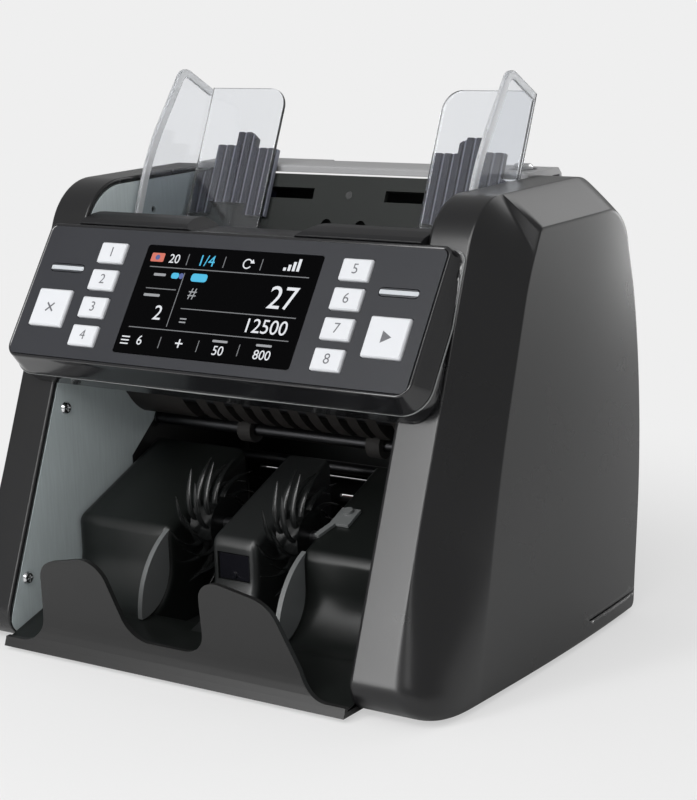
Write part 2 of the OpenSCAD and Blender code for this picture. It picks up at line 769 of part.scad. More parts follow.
// Placement on the note path: x across, y along the path, z away from the feed rollers
module on_path() {
    translate([0, path_at[0], path_at[1]]) rotate([180 + 90 - path_lean, 0, 0]) children();
}
module sensor_bar() {
    difference() {
        translate([-tray_x, 20, 0.7]) cube([2 * tray_x, bar_len, bar_t]);
        translate([-90, 26, -1]) cube([180, 8, 2.4]);
        for (s = [-1, 1]) translate([s * 70 - 12, 19, bar_t - 4]) cube([24, 6, 8]);
    }
}
module lower_sensor_bar() { color([0.2, 0.2, 0.22]) on_path() sensor_bar(); }
module upper_sensor_bar() {
    color([0.2, 0.2, 0.22]) on_path() mirror([0, 0, 1]) sensor_bar();
}
comb_ribs = 10;
comb_pitch = 11;
// Comb of curved ribs that strips the notes off the exit rollers
module exit_comb() {
    color([0.15, 0.15, 0.16]) {
        difference() {
            across(-tray_x, tray_x) polygon([[-16, 116], [-12, 112.6], [8, 112.6], [20, 122],
                [20, 125], [7, 116]]);
            for (s = [-1, 1]) translate([s * 80, -8, 105]) cylinder(r = 2, h = 14);
        }
        for (i = [0 : comb_ribs - 1]) translate([(i - (comb_ribs - 1) / 2) * comb_pitch, 0, 0])
            across(-1.1, 1.1) rib_profile();
    }
}
module rib_profile() {
    difference() {
        intersection() {
            translate([28, 122]) circle(33, $fn = 96);
            translate([-6, 93]) square([22, 20.5]);
        }
        translate([33, 120]) circle(27, $fn = 96);
        translate(tie_at[0]) circle(3.15);
        translate(exit_at) circle(9);
    }
}

// ---- stacker ---------------------------------------------------------------------
block_y = -43.5;
bed_fillet = 22;
floor_in = ramp_z - 38.3;
ramp_end = 18;
bed_wall = 2.4;
slot_in = 13;
slot_out = 38;
// YZ outline of the block's top: ramp, rounded edge, upright face and the fillet to the floor
function arc(c, r, a0, a1, n) =
    [for (i = [0 : n]) c + r * [cos(a0 + (a1 - a0) * i / n), sin(a0 + (a1 - a0) * i / n)]];
function ramp_height(y) = ramp_z + (y - block_y) * tan(ramp_slope);
edge_r = 6.5;
edge_drop = edge_r * (cos(ramp_slope) - (1 - sin(ramp_slope)) * tan(ramp_slope));
module block_outline() {
    polygon(concat(
        [[ramp_end, base_top], [ramp_end, ramp_height(ramp_end)]],
        arc([block_y + edge_r, ramp_z - edge_drop], edge_r, 90 + ramp_slope, 180, 8),
        arc([block_y - bed_fillet, floor_in + bed_fillet], bed_fillet, 0, -90, 14),
        [[bed_front, base_top + lip_t], [bed_front, base_top]]));
}
module block_shell() {
    difference() {
        block_outline();
        difference() {
            offset(delta = -bed_wall) block_outline();
            translate([bed_front - 1, 0]) square([28, 60]);
        }
        // Open underneath
        translate([block_y + bed_wall, floor_in - 20]) square([ramp_end - block_y, 20 + bed_wall]);
    }
}
module stacker_bed() {
    color([0.13, 0.14, 0.14]) difference() {
        union() {
            both_sides() {
                across(slot_out, tray_x) block_shell();
                across(slot_out, slot_out + bed_wall) cheek();
                across(tray_x - bed_wall, tray_x) cheek();
            }
            across(-slot_in, slot_in) block_shell();
            both_sides() across(slot_in - bed_wall, slot_in) cheek();
            // Floor between the blocks and the back bridge
            across(-tray_x, tray_x) intersection() {
                block_shell();
                union() {
                    translate([bed_front, 0]) square([38, floor_in + 3]);
                    translate([13, 0]) square([8, 100]);
                }
            }
        }
        translate([-9, block_y - 1, 33]) cube([18, 3, 13]);
        rod(-tray_x - 1, tray_x + 1, stacker_at[0], stacker_at[1], ring_r + 0.8);
    }
}
module cheek() {
    intersection() {
        block_outline();
        translate([block_y - bed_fillet, base_top]) square([ramp_end - block_y + bed_fillet, 90]);
    }
}
module sensor_window() {
    color([0.05, 0.03, 0.08]) {
        translate([-8.6, block_y + 0.5, 33.4]) cube([17.2, 1.4, 12.2]);
        translate([0, block_y + 0.6, 35.6]) rotate([90, 0, 0]) cylinder(r = 1.5, h = 0.9);
    }
}
fin_r = 39.7;
fin_c = [-26, 16.2];
module stacker_guide_fins() {
    color([0.5, 0.52, 0.52]) both_sides() across(slot_out + 0.2, slot_out + 2.8) difference() {
        intersection() {
            translate(fin_c) circle(fin_r, $fn = 120);
            translate([-80, floor_in + 0.4]) square([80, 40]);
        }
        offset(delta = seam) block_outline();
    }
}
module stack_sensor_bracket() {
    color([0.6, 0.62, 0.62]) translate([47, -18, ramp_height(-18) + 0.1])
        rotate([ramp_slope, 0, 0]) {
            translate([-5, -7, 0]) cube([10, 12, 1.6]);
            translate([-8, -16, 0]) rotate([0, 0, -18]) cube([3, 12, 1.6]);
            translate([0, 2, 0]) cylinder(r = 2.4, h = 3);
        }
}

// Two-humped front plate: one swept outline seen from the front, on a plate that leans
// forward from a knee near the ground
plate_wall = 2.6;
plate_lean = 16.8;
plate_flare = 0.386;
knee_z = 13;
knee_r = 24;
lip_t = 1.1;
// Right half of the upper edge, from the dip to the flat beside the hump: [x, z, radius]
plate_edge = [
    [0, dip_z],
    [21, dip_z, 13],
    [28.7, hump_h + 2.3, 11.5],
    [64.4, hump_h - 5.4, 13.5],
    [76.2, foot_z, 13.5],
    [tray_x, foot_z]
];
plate_high = max([for (p = rounded(plate_edge)) p.y]);
knee_y = -rear_reach + (plate_high - knee_z) * tan(plate_lean);
plate_foot = knee_y - (knee_z - ground_gap) * plate_flare;
bed_front = plate_foot + plate_wall + (base_top + lip_t - ground_gap) * plate_flare + seam;
module plate_face() {
    half = rounded(plate_edge);
    for (s = [0, 1]) mirror([s, 0]) polygon(concat([[0, ground_gap]], half, [[tray_x, ground_gap]]));
}
// Front line of the plate in the YZ plane
plate_line = rounded([
    [plate_foot, ground_gap],
    [knee_y, knee_z, knee_r],
    [-rear_reach, plate_high],
]);
module plate_section() {
    back = [for (i = [len(plate_line) - 1 : -1 : 0]) plate_line[i] + [plate_wall, 0]];
    polygon(concat(plate_line, back));
}
module stacker_front_plate() {
    color([0.25, 0.25, 0.25]) {
        intersection() {
            translate([0, -60, 0]) rotate([90, 0, 0]) linear_extrude(60) plate_face();
            across(-tray_x, tray_x) plate_section();
        }
        // Foot that slides under the stacker floor
        translate([-tray_x, plate_foot + plate_wall / 2, ground_gap])
            cube([2 * tray_x, base_front - seam - plate_foot - plate_wall / 2, 2.4]);
    }
}

// ---- electrics and rear ------------------------------------------------------------
module power_supply() {
    color([0.6, 0.5, 0.3]) {
        translate([-88, 22, ground_gap + 8]) cube([66, 62, 1.6]);
        translate([-80, 30, ground_gap + 9.6 - eps]) cube([24, 28, 20]);
        translate([-38, 36, ground_gap + 9.6 - eps]) cylinder(r = 7, h = 24);
        translate([-38, 56, ground_gap + 9.6 - eps]) cylinder(r = 7, h = 24);
        translate([-84, 68, ground_gap + 9.6 - eps]) cube([52, 4, 18]);
    }
}
module main_board() {
    color([0.1, 0.35, 0.2]) {
        translate([-frame_out - 6, -3, 36]) cube([1.6, 77, 82]);
        for (p = [[4, 58], [40, 84], [50, 54]])
            translate([-frame_out - 8.2, p[0], p[1]]) cube([2.3, 16, 16]);
        for (y = [2, 68]) for (z = [41, 112])
            rod(-frame_out - 4.5, -frame_out, y, z, 2.2);
    }
}
hinge_end = 88;
panel_top = door_at[1] - hinge_r - 0.4;
inlet_x = -62;
inlet_z = 16;
switch_x0 = -30;
inlet_y = back_y(inlet_z + 10);
module rear_skin(z0, z1) {
    intersection() {
        difference() {
            side_outline(0);
            side_outline(cover_wall);
        }
        translate([88, z0]) square([40, z1 - z0]);
    }
}
module rear_panel() {
    color([0.12, 0.12, 0.13]) difference() {
        union() {
            across(-tray_x, tray_x) rear_skin(ground_gap + base_t + 2.3, panel_top);
            // Knuckles that carry the door
            both_sides() difference() {
                across(hinge_end + seam, tray_x) union() {
                    translate(door_at) circle(hinge_r);
                    translate([door_at[0] - hinge_r, panel_top - 6])
                        square([2 * hinge_r - 0.6, door_at[1] - panel_top + 6]);
                }
                rod(hinge_end - 1, tray_x - 1.2, door_at[0], door_at[1], 2 + shaft_fit);
            }
        }
        translate([inlet_x - 13.8, 80, inlet_z]) cube([27.6, 40, 20]);
        translate([switch_x0 - 6.7, 80, inlet_z]) cube([13.4, 40, 20]);
        for (i = [0 : 6]) translate([20 + i * 9, 80, inlet_z + 2]) cube([4, 40, 18]);
    }
}
module power_inlet() {
    color([0.05, 0.05, 0.05]) difference() {
        union() {
            translate([inlet_x - 13.5, 78, inlet_z + 0.3]) cube([27, inlet_y - 77.4, 19.4]);
            translate([inlet_x - 15.5, inlet_y + 0.4, inlet_z - 1.5]) cube([31, 1.8, 23]);
        }
        translate([inlet_x - 11.5, 82, inlet_z + 2.5]) cube([23, 40, 15]);
    }
    color("silver") for (p = [[-7, 9], [0, 12], [7, 9]])
        translate([inlet_x + p[0] - 1, 81, inlet_z + p[1] - 2]) cube([2, 11, 4]);
}
switch_tilt = 9;
module power_switch() {
    // Rocker on a cross pin, its lower half pressed in
    color([0.6, 0.08, 0.06]) translate([0, inlet_y - 3, inlet_z + 10]) rotate([switch_tilt, 0, 0]) {
        across(switch_x0 - 6, switch_x0 + 6) polygon([[-4, -8.4], [3.4, -8.6], [1.8, 0],
            [3.4, 8.6], [-4, 8.4]]);
        rod(switch_x0 - 6.5, switch_x0 + 6.5, 0, 0, 1.4);
    }
}
door_high = body_h - 7.5;
module rear_door() {
    color([0.13, 0.13, 0.14]) difference() {
        union() {
            across(-tray_x + 0.2, tray_x - 0.2) rear_skin(door_at[1] + hinge_r + 0.4, door_high);
            across(-hinge_end, hinge_end) union() {
                rear_skin(door_at[1], door_at[1] + hinge_r + 1);
                translate(door_at) circle(hinge_r);
            }
            both_sides() rod(hinge_end - 1, tray_x - 1.8, door_at[0], door_at[1], 2);
        }
        // Louvres
        for (z = [70 : 8 : 110]) translate([-60, 90, z]) cube([120, 30, 3]);
    }
}

base_tray();
rubber_feet();
left_side_cover();
right_side_cover();
left_side_frame();
right_side_frame();
tie_bars();
frame_screws();
panel_bezel();
panel_overlay();
display_window();
display_module();
light_bars();
keypad_board();
hopper();
hopper_back_plate();
top_lid();
stacker_bed();
stacker_front_plate();
stacker_guide_fins();
sensor_window();
stack_sensor_bracket();
exit_comb();
upper_sensor_bar();
lower_sensor_bar();
separation_rollers();
main_motor();
drive_belts();
stacker_motor();
main_board();
power_supply();
rear_panel();
power_inlet();
left_guide();
left_guide_carriage();
right_guide();
right_guide_carriage();
guide_pinion();
pickup_shaft();
pickup_rollers();
feed_shaft();
feed_rollers();
exit_shaft();
exit_rollers();
stacker_shaft();
stacker_wheels();
motor_pulley();
power_switch();
rear_door();
gap_knob();
key_left_1();
key_left_2();
key_left_3();
key_left_4();
key_right_1();
key_right_2();
key_right_3();
key_right_4();
key_left_large();
key_right_large();
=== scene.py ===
import json
import math

import bmesh
import bpy
import numpy as np
from mathutils import Matrix, Vector


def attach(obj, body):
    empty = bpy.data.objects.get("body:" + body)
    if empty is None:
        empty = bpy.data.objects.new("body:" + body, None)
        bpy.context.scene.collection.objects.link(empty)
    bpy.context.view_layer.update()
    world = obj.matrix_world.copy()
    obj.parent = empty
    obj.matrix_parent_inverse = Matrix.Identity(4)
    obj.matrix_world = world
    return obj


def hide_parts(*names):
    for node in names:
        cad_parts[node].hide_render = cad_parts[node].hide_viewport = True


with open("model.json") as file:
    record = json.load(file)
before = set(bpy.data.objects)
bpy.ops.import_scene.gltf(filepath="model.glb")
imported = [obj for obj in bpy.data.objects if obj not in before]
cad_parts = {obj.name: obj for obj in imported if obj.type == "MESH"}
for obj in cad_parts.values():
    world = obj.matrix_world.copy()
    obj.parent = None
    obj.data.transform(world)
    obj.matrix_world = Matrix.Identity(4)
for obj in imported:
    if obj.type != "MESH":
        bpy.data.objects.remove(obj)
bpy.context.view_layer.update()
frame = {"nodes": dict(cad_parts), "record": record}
nodes = frame["nodes"]
mm = 0.001
print("frame loaded:", len(nodes), "nodes")


# Nets and outlines, all in millimetres until a mesh is made

def gridFaces(rows, cols, loopU=False, loopV=False):
    # quad (i, j) joins net corners i, i+1 and j, j+1, and wraps round where the net is closed
    i, j = np.meshgrid(
        np.arange(rows if loopU else rows - 1), np.arange(cols if loopV else cols - 1), indexing="ij")
    nextI, nextJ = (i + 1) % rows, (j + 1) % cols
    quads = np.stack([i * cols + j, nextI * cols + j, nextI * cols + nextJ, i * cols + nextJ], -1)
    return quads.reshape(-1, 4).tolist()


def newMesh(name, corners, faces):
    mesh = bpy.data.meshes.new(name)
    mesh.from_pydata((np.asarray(corners, float) * mm).tolist(), [], faces)
    return mesh


def gridMesh(name, points, loopU=False, loopV=False):
    return newMesh(name, points.reshape(-1, 3), gridFaces(*points.shape[:2], loopU, loopV))


def unit(vectors):
    return vectors / np.linalg.norm(vectors, axis=-1, keepdims=True)


def sideways(line):
    # unit normals on the left of a flat line
    along = unit(np.gradient(line, axis=0))
    return np.column_stack([-along[:, 1], along[:, 0]])


def spokes(angles):
    return np.column_stack([np.cos(angles), np.sin(angles)])


def conic(start, corner, end, weight, t):
    # rational quadratic curve: (1 - t)^2, 2 w t (1 - t) and t^2 are the shares of the three points
    shares = [(1 - t) ** 2, 2 * weight * t * (1 - t), t ** 2]
    return sum(share * place for share, place in zip(shares, (start, corner, end))) / sum(shares)


def roundedLoop(corners, reach, edgeSteps=6, arcSteps=8):
    # closed outline through the corners; each corner is a circular arc that starts `reach` before it,
    # and outlines with as many corners match point for point
    corner = np.asarray(corners, float)
    reach = np.broadcast_to(np.asarray(reach, float), len(corner))[:, None]
    before = unit(np.roll(corner, 1, 0) - corner)
    after = unit(np.roll(corner, -1, 0) - corner)
    start, end = corner + before * reach, corner + after * reach
    turn = np.pi - np.arccos(np.clip((before * after).sum(1), -1, 1))
    weight = np.cos(turn / 2)[:, None, None]
    s = np.linspace(0, 1, arcSteps + 1)[None, :, None]
    arc = conic(start[:, None], corner[:, None], end[:, None], weight, s)
    t = np.linspace(0, 1, edgeSteps + 1)[None, 1:-1, None]
    side = end[:, None] * (1 - t) + np.roll(start, -1, 0)[:, None] * t
    return np.concatenate([arc, side], axis=1).reshape(-1, corner.shape[1])


def solidMesh(name, corners, faces):
    # closed solid from its corners in mm, with its faces turned outwards
    return facedOut(newMesh(name, corners, faces))


def facedOut(mesh):
    work = bmesh.new()
    work.from_mesh(mesh)
    bmesh.ops.recalc_face_normals(work, faces=work.faces)
    work.to_mesh(mesh)
    work.free()
    return mesh


def prism(near, far):
    # corners and faces of the closed solid between two matching outlines
    count = len(near)
    faces = [tuple(range(count)), tuple(range(2 * count - 1, count - 1, -1))]
    faces += [(k, count + k, count + (k + 1) % count, (k + 1) % count) for k in range(count)]
    return np.concatenate([near, far]), faces


def slab(outline, left, right):
    # an outline in Y and Z carried straight across from left to right
    return prism(*[np.column_stack([np.full(len(outline), float(x)), outline]) for x in (left, right)])


def joinParts(parts):
    # several sets of corners and faces as one
    points, faces, start = [], [], 0
    for corners, polygons in parts:
        points.append(corners)
        faces += [tuple(start + k for k in polygon) for polygon in polygons]
        start += len(corners)
    return np.concatenate(points), faces


def joinMeshes(name, meshes):
    # several meshes as one, with any open end up to 16 edges long closed
    join = bmesh.new()
    for mesh in meshes:
        join.from_mesh(mesh)
    bmesh.ops.holes_fill(join, edges=[e for e in join.edges if e.is_boundary], sides=16)
    joined = bpy.data.meshes.new(name)
    join.to_mesh(joined)
    join.free()
    return joined


def rodMesh(start, length, radius, sides=32):
    # closed cylinder along X
    turn = np.linspace(0, 2 * np.pi, sides, endpoint=False)
    rim = spokes(turn) * radius + start[1:]
    return solidMesh("rod", *slab(rim, start[0], start[0] + length))


def boxMesh(low, high):
    # closed box between two opposite corners
    outline = np.array([(low[1], low[2]), (high[1], low[2]), (high[1], high[2]), (low[1], high[2])], float)
    return solidMesh("box", *slab(outline, low[0], high[0]))


def solidify(obj, thickness):
    wall = obj.modifiers.new("wall", "SOLIDIFY")
    wall.thickness = thickness * mm
    wall.offset = -1
    wall.use_even_offset = True


def roundEdges(obj, width, segments=2, angle=35):
    bevel = obj.modifiers.new("roundEdges", "BEVEL")
    bevel.width = width * mm
    bevel.segments = segments
    bevel.limit_method = "ANGLE"
    bevel.angle_limit = math.radians(angle)
    bevel.harden_normals = True


def addObject(name, data):
    obj = bpy.data.objects.new(name, data)
    bpy.context.scene.collection.objects.link(obj)
    return obj


def makePiece(name, mesh, material, body, slot, smoothAngle=40, merge=True):
    # an object that rides on its body, with the given material
    obj = addObject(name, mesh)
    if merge:
        bm = bmesh.new()
        bm.from_mesh(mesh)
        bmesh.ops.remove_doubles(bm, verts=bm.verts, dist=2e-6)
        bmesh.ops.dissolve_degenerate(bm, edges=bm.edges, dist=1e-6)
        bmesh.ops.recalc_face_normals(bm, faces=bm.faces)
        bm.to_mesh(mesh)
        bm.free()
    mesh.shade_smooth()
    mesh.set_sharp_from_angle(angle=math.radians(smoothAngle))
    mesh.materials.clear()
    mesh.materials.append(material)
    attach(obj, body)
    return obj


def rideOf(node):
    # a CAD part's body and its material slot
    record = frame["record"]
    body = next(name for name, members in record["behaviour"]["bodies"].items() if node in members)
    return body, next(row["material_slot"] for row in record["subparts"] if row["node"] == node)


def softCopy(node, material, width):
    # the CAD solid with its edges rounded: doubles merged, flat faces joined, then a bevel
    mesh = nodes[node].data.copy()
    bm = bmesh.new()
    bm.from_mesh(mesh)
    bmesh.ops.remove_doubles(bm, verts=bm.verts, dist=2e-6)
    bmesh.ops.dissolve_limit(bm, angle_limit=math.radians(0.6), verts=bm.verts, edges=bm.edges)
    bm.to_mesh(mesh)
    bm.free()
    piece = makePiece(node + "Form", mesh, material, *rideOf(node), merge=False)
    roundEdges(piece, width)
    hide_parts(node)


def bakedMesh(obj):
    # the object's mesh once its modifiers are applied
    bpy.context.view_layer.update()
    return bpy.data.meshes.new_from_object(obj.evaluated_get(bpy.context.evaluated_depsgraph_get()))


def cutBy(piece, cutterMesh):
    # exact boolean difference, baked into the piece's own mesh
    cutter = addObject("cutter", cutterMesh)
    cut = piece.modifiers.new("cut", "BOOLEAN")
    cut.object, cut.operation, cut.solver = cutter, "DIFFERENCE", "EXACT"
    baked = bakedMesh(piece)
    piece.modifiers.clear()
    old, piece.data = piece.data, baked
    baked.name = old.name
    bpy.data.meshes.remove(old)
    bpy.data.objects.remove(cutter)


# Node groups

def newGroup(name, inputs):
    group = bpy.data.node_groups.new(name, "ShaderNodeTree")
    for label, kind, value in inputs:
        socket = group.interface.new_socket(name=label, in_out="INPUT", socket_type="NodeSocket" + kind)
        socket.default_value = value
    for label in ("Color", "Roughness", "Height"):
        kind = "Color" if label == "Color" else "Float"
        group.interface.new_socket(name=label, in_out="OUTPUT", socket_type="NodeSocket" + kind)
    return group, group.nodes.new("NodeGroupInput").outputs, group.nodes.new("NodeGroupOutput").inputs


def addNode(tree, kind, settings=None, **inputs):
    # inputs by name, or by number as i0, i1 and so on; a socket is linked and a value is set
    node = tree.nodes.new("ShaderNode" + kind)
    for key, value in (settings or {}).items():
        setattr(node, key, value)
    for key, value in inputs.items():
        socket = node.inputs[int(key[1:])] if key[0] == "i" and key[1:].isdigit() else node.inputs[key]
        if isinstance(value, bpy.types.NodeSocket):
            tree.links.new(value, socket)
        else:
            socket.default_value = value
    return node


def calc(tree, operation, *values):
    # one Math node, given its values in order
    inputs = {f"i{k}": value for k, value in enumerate(values)}
    return addNode(tree, "Math", {"operation": operation}, **inputs).outputs[0]


def ownPlace(tree):
    # the piece's own coordinates
    return addNode(tree, "TexCoord").outputs["Object"]


def fillGroup(group, given, result, cloud, mottle, height):
    # roughness + spread x (cloud - 1/2), and tone x (1 + mottle x (cloud - 1/2))
    wave = calc(group, "SUBTRACT", cloud, 0.5)
    rough = calc(group, "MULTIPLY_ADD", wave, given["Spread"], given["Roughness"])
    tint = addNode(group, "VectorMath", {"operation": "SCALE"}, i0=given["Tone"],
                   Scale=calc(group, "MULTIPLY_ADD", wave, mottle, 1.0))
    for label, value in (("Color", tint.outputs[0]), ("Roughness", rough), ("Height", height)):
        group.links.new(value, result[label])


def makeGrainGroup():
    # moulded skin: fine noise for the spark-eroded grain, and a coarse one for the uneven sheen
    group, given, result = newGroup("mouldedSkin", [
        ("Grain", "Float", 2600.0), ("Sheen Scale", "Float", 18.0), ("Roughness", "Float", 0.4),
        ("Spread", "Float", 0.08), ("Tone", "Color", (0.02, 0.02, 0.02, 1)), ("Mottle", "Float", 0.12)])
    place = ownPlace(group)
    grain = addNode(group, "TexNoise", Vector=place, Scale=given["Grain"], Detail=2.0)
    cloud = addNode(group, "TexNoise", Vector=place, Scale=given["Sheen Scale"], Detail=4.0)
    fillGroup(group, given, result, cloud.outputs["Fac"], given["Mottle"], grain.outputs["Fac"])
    return group


def makeBrushGroup():
    # brushed metal: noise drawn out along one axis by stretching the coordinates across it
    group, given, result = newGroup("brushedLines", [
        ("Stretch", "Vector", (1.0, 1.0, 1.0)), ("Roughness", "Float", 0.3), ("Spread", "Float", 0.2),
        ("Tone", "Color", (0.5, 0.5, 0.5, 1))])
    drawn = addNode(group, "VectorMath", {"operation": "MULTIPLY"}, i0=ownPlace(group),
                    i1=given["Stretch"])
    lines = addNode(group, "TexNoise", Vector=drawn.outputs[0], Scale=60.0, Detail=3.0)
    fillGroup(group, given, result, lines.outputs["Fac"], 0.25, lines.outputs["Fac"])
    return group


mouldedSkin = makeGrainGroup()
brushedLines = makeBrushGroup()


def newMaterial(name, settings):
    material = bpy.data.materials.new(name)
    material.use_nodes = True
    tree = material.node_tree
    shader = tree.nodes["Principled BSDF"]
    for label, value in settings.items():
        shader.inputs[label].default_value = value
    return material, tree, shader


def dress(tree, shader, group, bump, **values):
    # base colour and roughness from a skin group, and its height as a bump where one is given
    skin = addNode(tree, "Group", {"node_tree": group}, **values)
    tree.links.new(skin.outputs["Color"], shader.inputs["Base Color"])
    tree.links.new(skin.outputs["Roughness"], shader.inputs["Roughness"])
    if bump:
        relief = addNode(tree, "Bump", Strength=bump[0], Distance=bump[1],
                         Height=skin.outputs["Height"])
        tree.links.new(relief.outputs[0], shader.inputs["Normal"])


def moulded(name, tone, roughness=0.4, spread=0.08, grain=2600.0, depth=0.02, coat=0.0, mottle=0.12,
            specular=0.5):
    material, tree, shader = newMaterial(
        name, {"Coat Weight": coat, "Coat Roughness": 0.08, "Specular IOR Level": specular})
    dress(tree, shader, mouldedSkin, (depth, 0.0004), Tone=(*tone, 1), Roughness=roughness, Spread=spread,
          Grain=grain, Mottle=mottle)
    return material


def brushed(name, tone, stretch, roughness=0.3, spread=0.15, metallic=1.0):
    material, tree, shader = newMaterial(name, {"Metallic": metallic})
    dress(tree, shader, brushedLines, (0.03, 0.0002), Tone=(*tone, 1), Roughness=roughness, Spread=spread,
          Stretch=stretch)
    return material


def clearPlastic(name, tone, roughness, clearness):
    material, tree, shader = newMaterial(
        name, {"Transmission Weight": clearness, "Specular IOR Level": 0.12, "IOR": 1.45})
    dress(tree, shader, mouldedSkin, None, Tone=(*tone, 1), Roughness=roughness, Spread=0.04, Mottle=0.04)
    return material


def litInk(name, tone, strength):
    material, tree, shader = newMaterial(
        name, {"Emission Strength": strength, "Base Color": (0.01, 0.01, 0.01, 1)})
    skin = addNode(tree, "Group", {"node_tree": mouldedSkin}, Tone=(*tone, 1), Mottle=0.1)
    tree.links.new(skin.outputs["Color"], shader.inputs["Emission Color"])
    return material


def secondTone(material, tone, makeMask):
    # a second tone over the base colour, where the mask made from the piece's own coordinates is 1
    tree = material.node_tree
    base = tree.nodes["Principled BSDF"].inputs["Base Color"]
    mix = addNode(tree, "MixRGB", i0=makeMask(tree, ownPlace(tree)), i1=base.links[0].from_socket,
                  i2=(*tone, 1))
    tree.links.new(mix.outputs[0], base)


def ribGlintPlastic(name, tone, line, first, pitch, width):
    # painted highlights: pale lines repeat across the part at the ribs' pitch, the same on both hands,
    # standing in for glints on the ribs
    def ribGlintMask(tree, place):
        across = calc(tree, "ABSOLUTE", addNode(tree, "SeparateXYZ", i0=place).outputs["X"])
        across = calc(tree, "SUBTRACT", across, (first - pitch / 2) * mm)
        across = calc(tree, "FRACT", calc(tree, "DIVIDE", across, pitch * mm))
        across = calc(tree, "ABSOLUTE", calc(tree, "SUBTRACT", across, 0.5))
        return calc(tree, "LESS_THAN", across, width / pitch / 2)

    material = moulded(name, tone, 0.42, 0.08, specular=0.25)
    # the pale lines are painted highlights on the ribs
    secondTone(material, line, ribGlintMask)
    return material


def toneBeyond(material, tone, edges):
    # second tone where every edge (x, y, z weights, limit in mm) is passed
    def beyondMask(tree, place):
        passed = 1.0
        for *weights, limit in edges:
            along = addNode(tree, "VectorMath", {"operation": "DOT_PRODUCT"}, i0=place, i1=weights)
            beyond = calc(tree, "GREATER_THAN", along.outputs["Value"], limit * mm)
            passed = calc(tree, "MULTIPLY", passed, beyond)
        return passed

    secondTone(material, tone, beyondMask)


paint = {
    "cover": moulded("coverSatin", (0.006, 0.006, 0.0065), 0.28, 0.06, depth=0.012),
    "bezel": moulded("bezelGloss", (0.008, 0.008, 0.009), 0.16, 0.04, depth=0.004, coat=0.4),
    "overlay": moulded("overlayFilm", (0.019, 0.020, 0.024), 0.42, 0.1, depth=0.01, mottle=0.3, specular=0.3),
    "black": moulded("mouldedBlack", (0.012, 0.013, 0.013), 0.42, 0.08),
    # painted highlight: this pale grey makes the cord along the bezel's seam look like a glint on the edge
    "seam": moulded("seamGlintGrey", (0.16, 0.165, 0.165), 0.4, 0.05),
    "comb": moulded("combBlack", (0.021, 0.019, 0.018), 0.5, 0.08, specular=0.25),
    "lipBlack": moulded("hopperLip", (0.010, 0.010, 0.011), 0.45, 0.06, specular=0.22),
    # painted shade: the steel tie bars and exit shaft get a near-black tone
    "shadeBlackSteel": brushed("shadePaintedSteel", (0.05, 0.05, 0.053), (1.0, 8.0, 8.0), 0.42, 0.1),
    "darkSteel": brushed("shaftSteel", (0.20, 0.20, 0.21), (1.0, 8.0, 8.0), 0.34, 0.1),
    # painted light: a lighter copy of the bed plastic for the middle block
    "paintedLitBed": moulded("paintedLitBedSatin", (0.013, 0.014, 0.014), 0.34, 0.08, depth=0.015),
    "bed": moulded("bedSatin", (0.006, 0.007, 0.0065), 0.30, 0.08, depth=0.015, specular=0.4),
    "lid": moulded("lidSatin", (0.29, 0.29, 0.295), 0.30, 0.06),
    "plate": moulded("frontPlate", (0.013, 0.013, 0.013), 0.38, 0.06, specular=0.35),
    "backPlate": moulded("hopperBack", (0.018, 0.020, 0.019), 0.40, 0.08, depth=0.04, specular=0.15),
    # painted highlights: the carriages' pale lines at the rib pitch stand in for glints on the ribs
    "navy": ribGlintPlastic("carriageNavyGlints", (0.008, 0.009, 0.022), (0.20, 0.21, 0.25), 51.7, 5.2, 0.7),
    "fin": moulded("finSmoke", (0.11, 0.115, 0.115), 0.28, 0.06),
    "wheel": moulded("wheelVanes", (0.007, 0.0075, 0.0075), 0.27, 0.06, specular=0.42),
    "key": moulded("keyWhite", (0.52, 0.53, 0.55), 0.40, 0.05, mottle=0.03, specular=0.3),
    "rubber": moulded("rubberBlack", (0.018, 0.016, 0.015), 0.75, 0.1, grain=1400.0, depth=0.12),
    "white": moulded("nylonWhite", (0.72, 0.72, 0.70), 0.4, 0.06),
    "board": moulded("solderMask", (0.02, 0.12, 0.06), 0.35, 0.1),
    "phenolic": moulded("phenolicBoard", (0.20, 0.13, 0.05), 0.5, 0.1),
    "window": moulded("displayGlass", (0.001, 0.001, 0.0012), 0.12, 0.03, depth=0, mottle=0, specular=0.04),
    "light": moulded("lightGuide", (0.42, 0.44, 0.46), 0.3, 0.04, mottle=0.04),
    "ink": moulded("legendInk", (0.09, 0.09, 0.10), 0.5, 0.04),
    "red": moulded("rockerRed", (0.24, 0.015, 0.012), 0.3, 0.05),
    "sensor": moulded("sensorDark", (0.006, 0.006, 0.008), 0.15, 0.03, depth=0.0, specular=0.2),
    "frameSteel": brushed("platedSheet", (0.60, 0.67, 0.68), (1.0, 14.0, 1.0), 0.5, 0.1, metallic=0.15),
    "steel": brushed("brightSteel", (0.68, 0.69, 0.70), (1.0, 8.0, 8.0), 0.22, 0.12),
    "module": brushed("motorCase", (0.40, 0.40, 0.42), (1.0, 6.0, 6.0), 0.40, 0.12),
    "clear": clearPlastic("guideClear", (0.88, 0.895, 0.92), 0.03, 0.99),
    "clearRim": clearPlastic("guideRim", (0.93, 0.94, 0.95), 0.3, 0.6),
    "screenWhite": litInk("screenWhite", (0.86, 0.88, 0.92), 0.85),
    "screenSoft": litInk("screenSoft", (0.36, 0.37, 0.39), 0.8),
    "screenGrey": litInk("screenGrey", (0.16, 0.165, 0.175), 0.9),
    "screenCyan": litInk("screenCyan", (0.03, 0.50, 0.80), 0.9),
    "screenCoral": litInk("screenCoral", (0.75, 0.16, 0.10), 0.8),
    "screenBlue": litInk("screenBlue", (0.06, 0.10, 0.34), 0.8),
}
print("materials made:", len(paint))


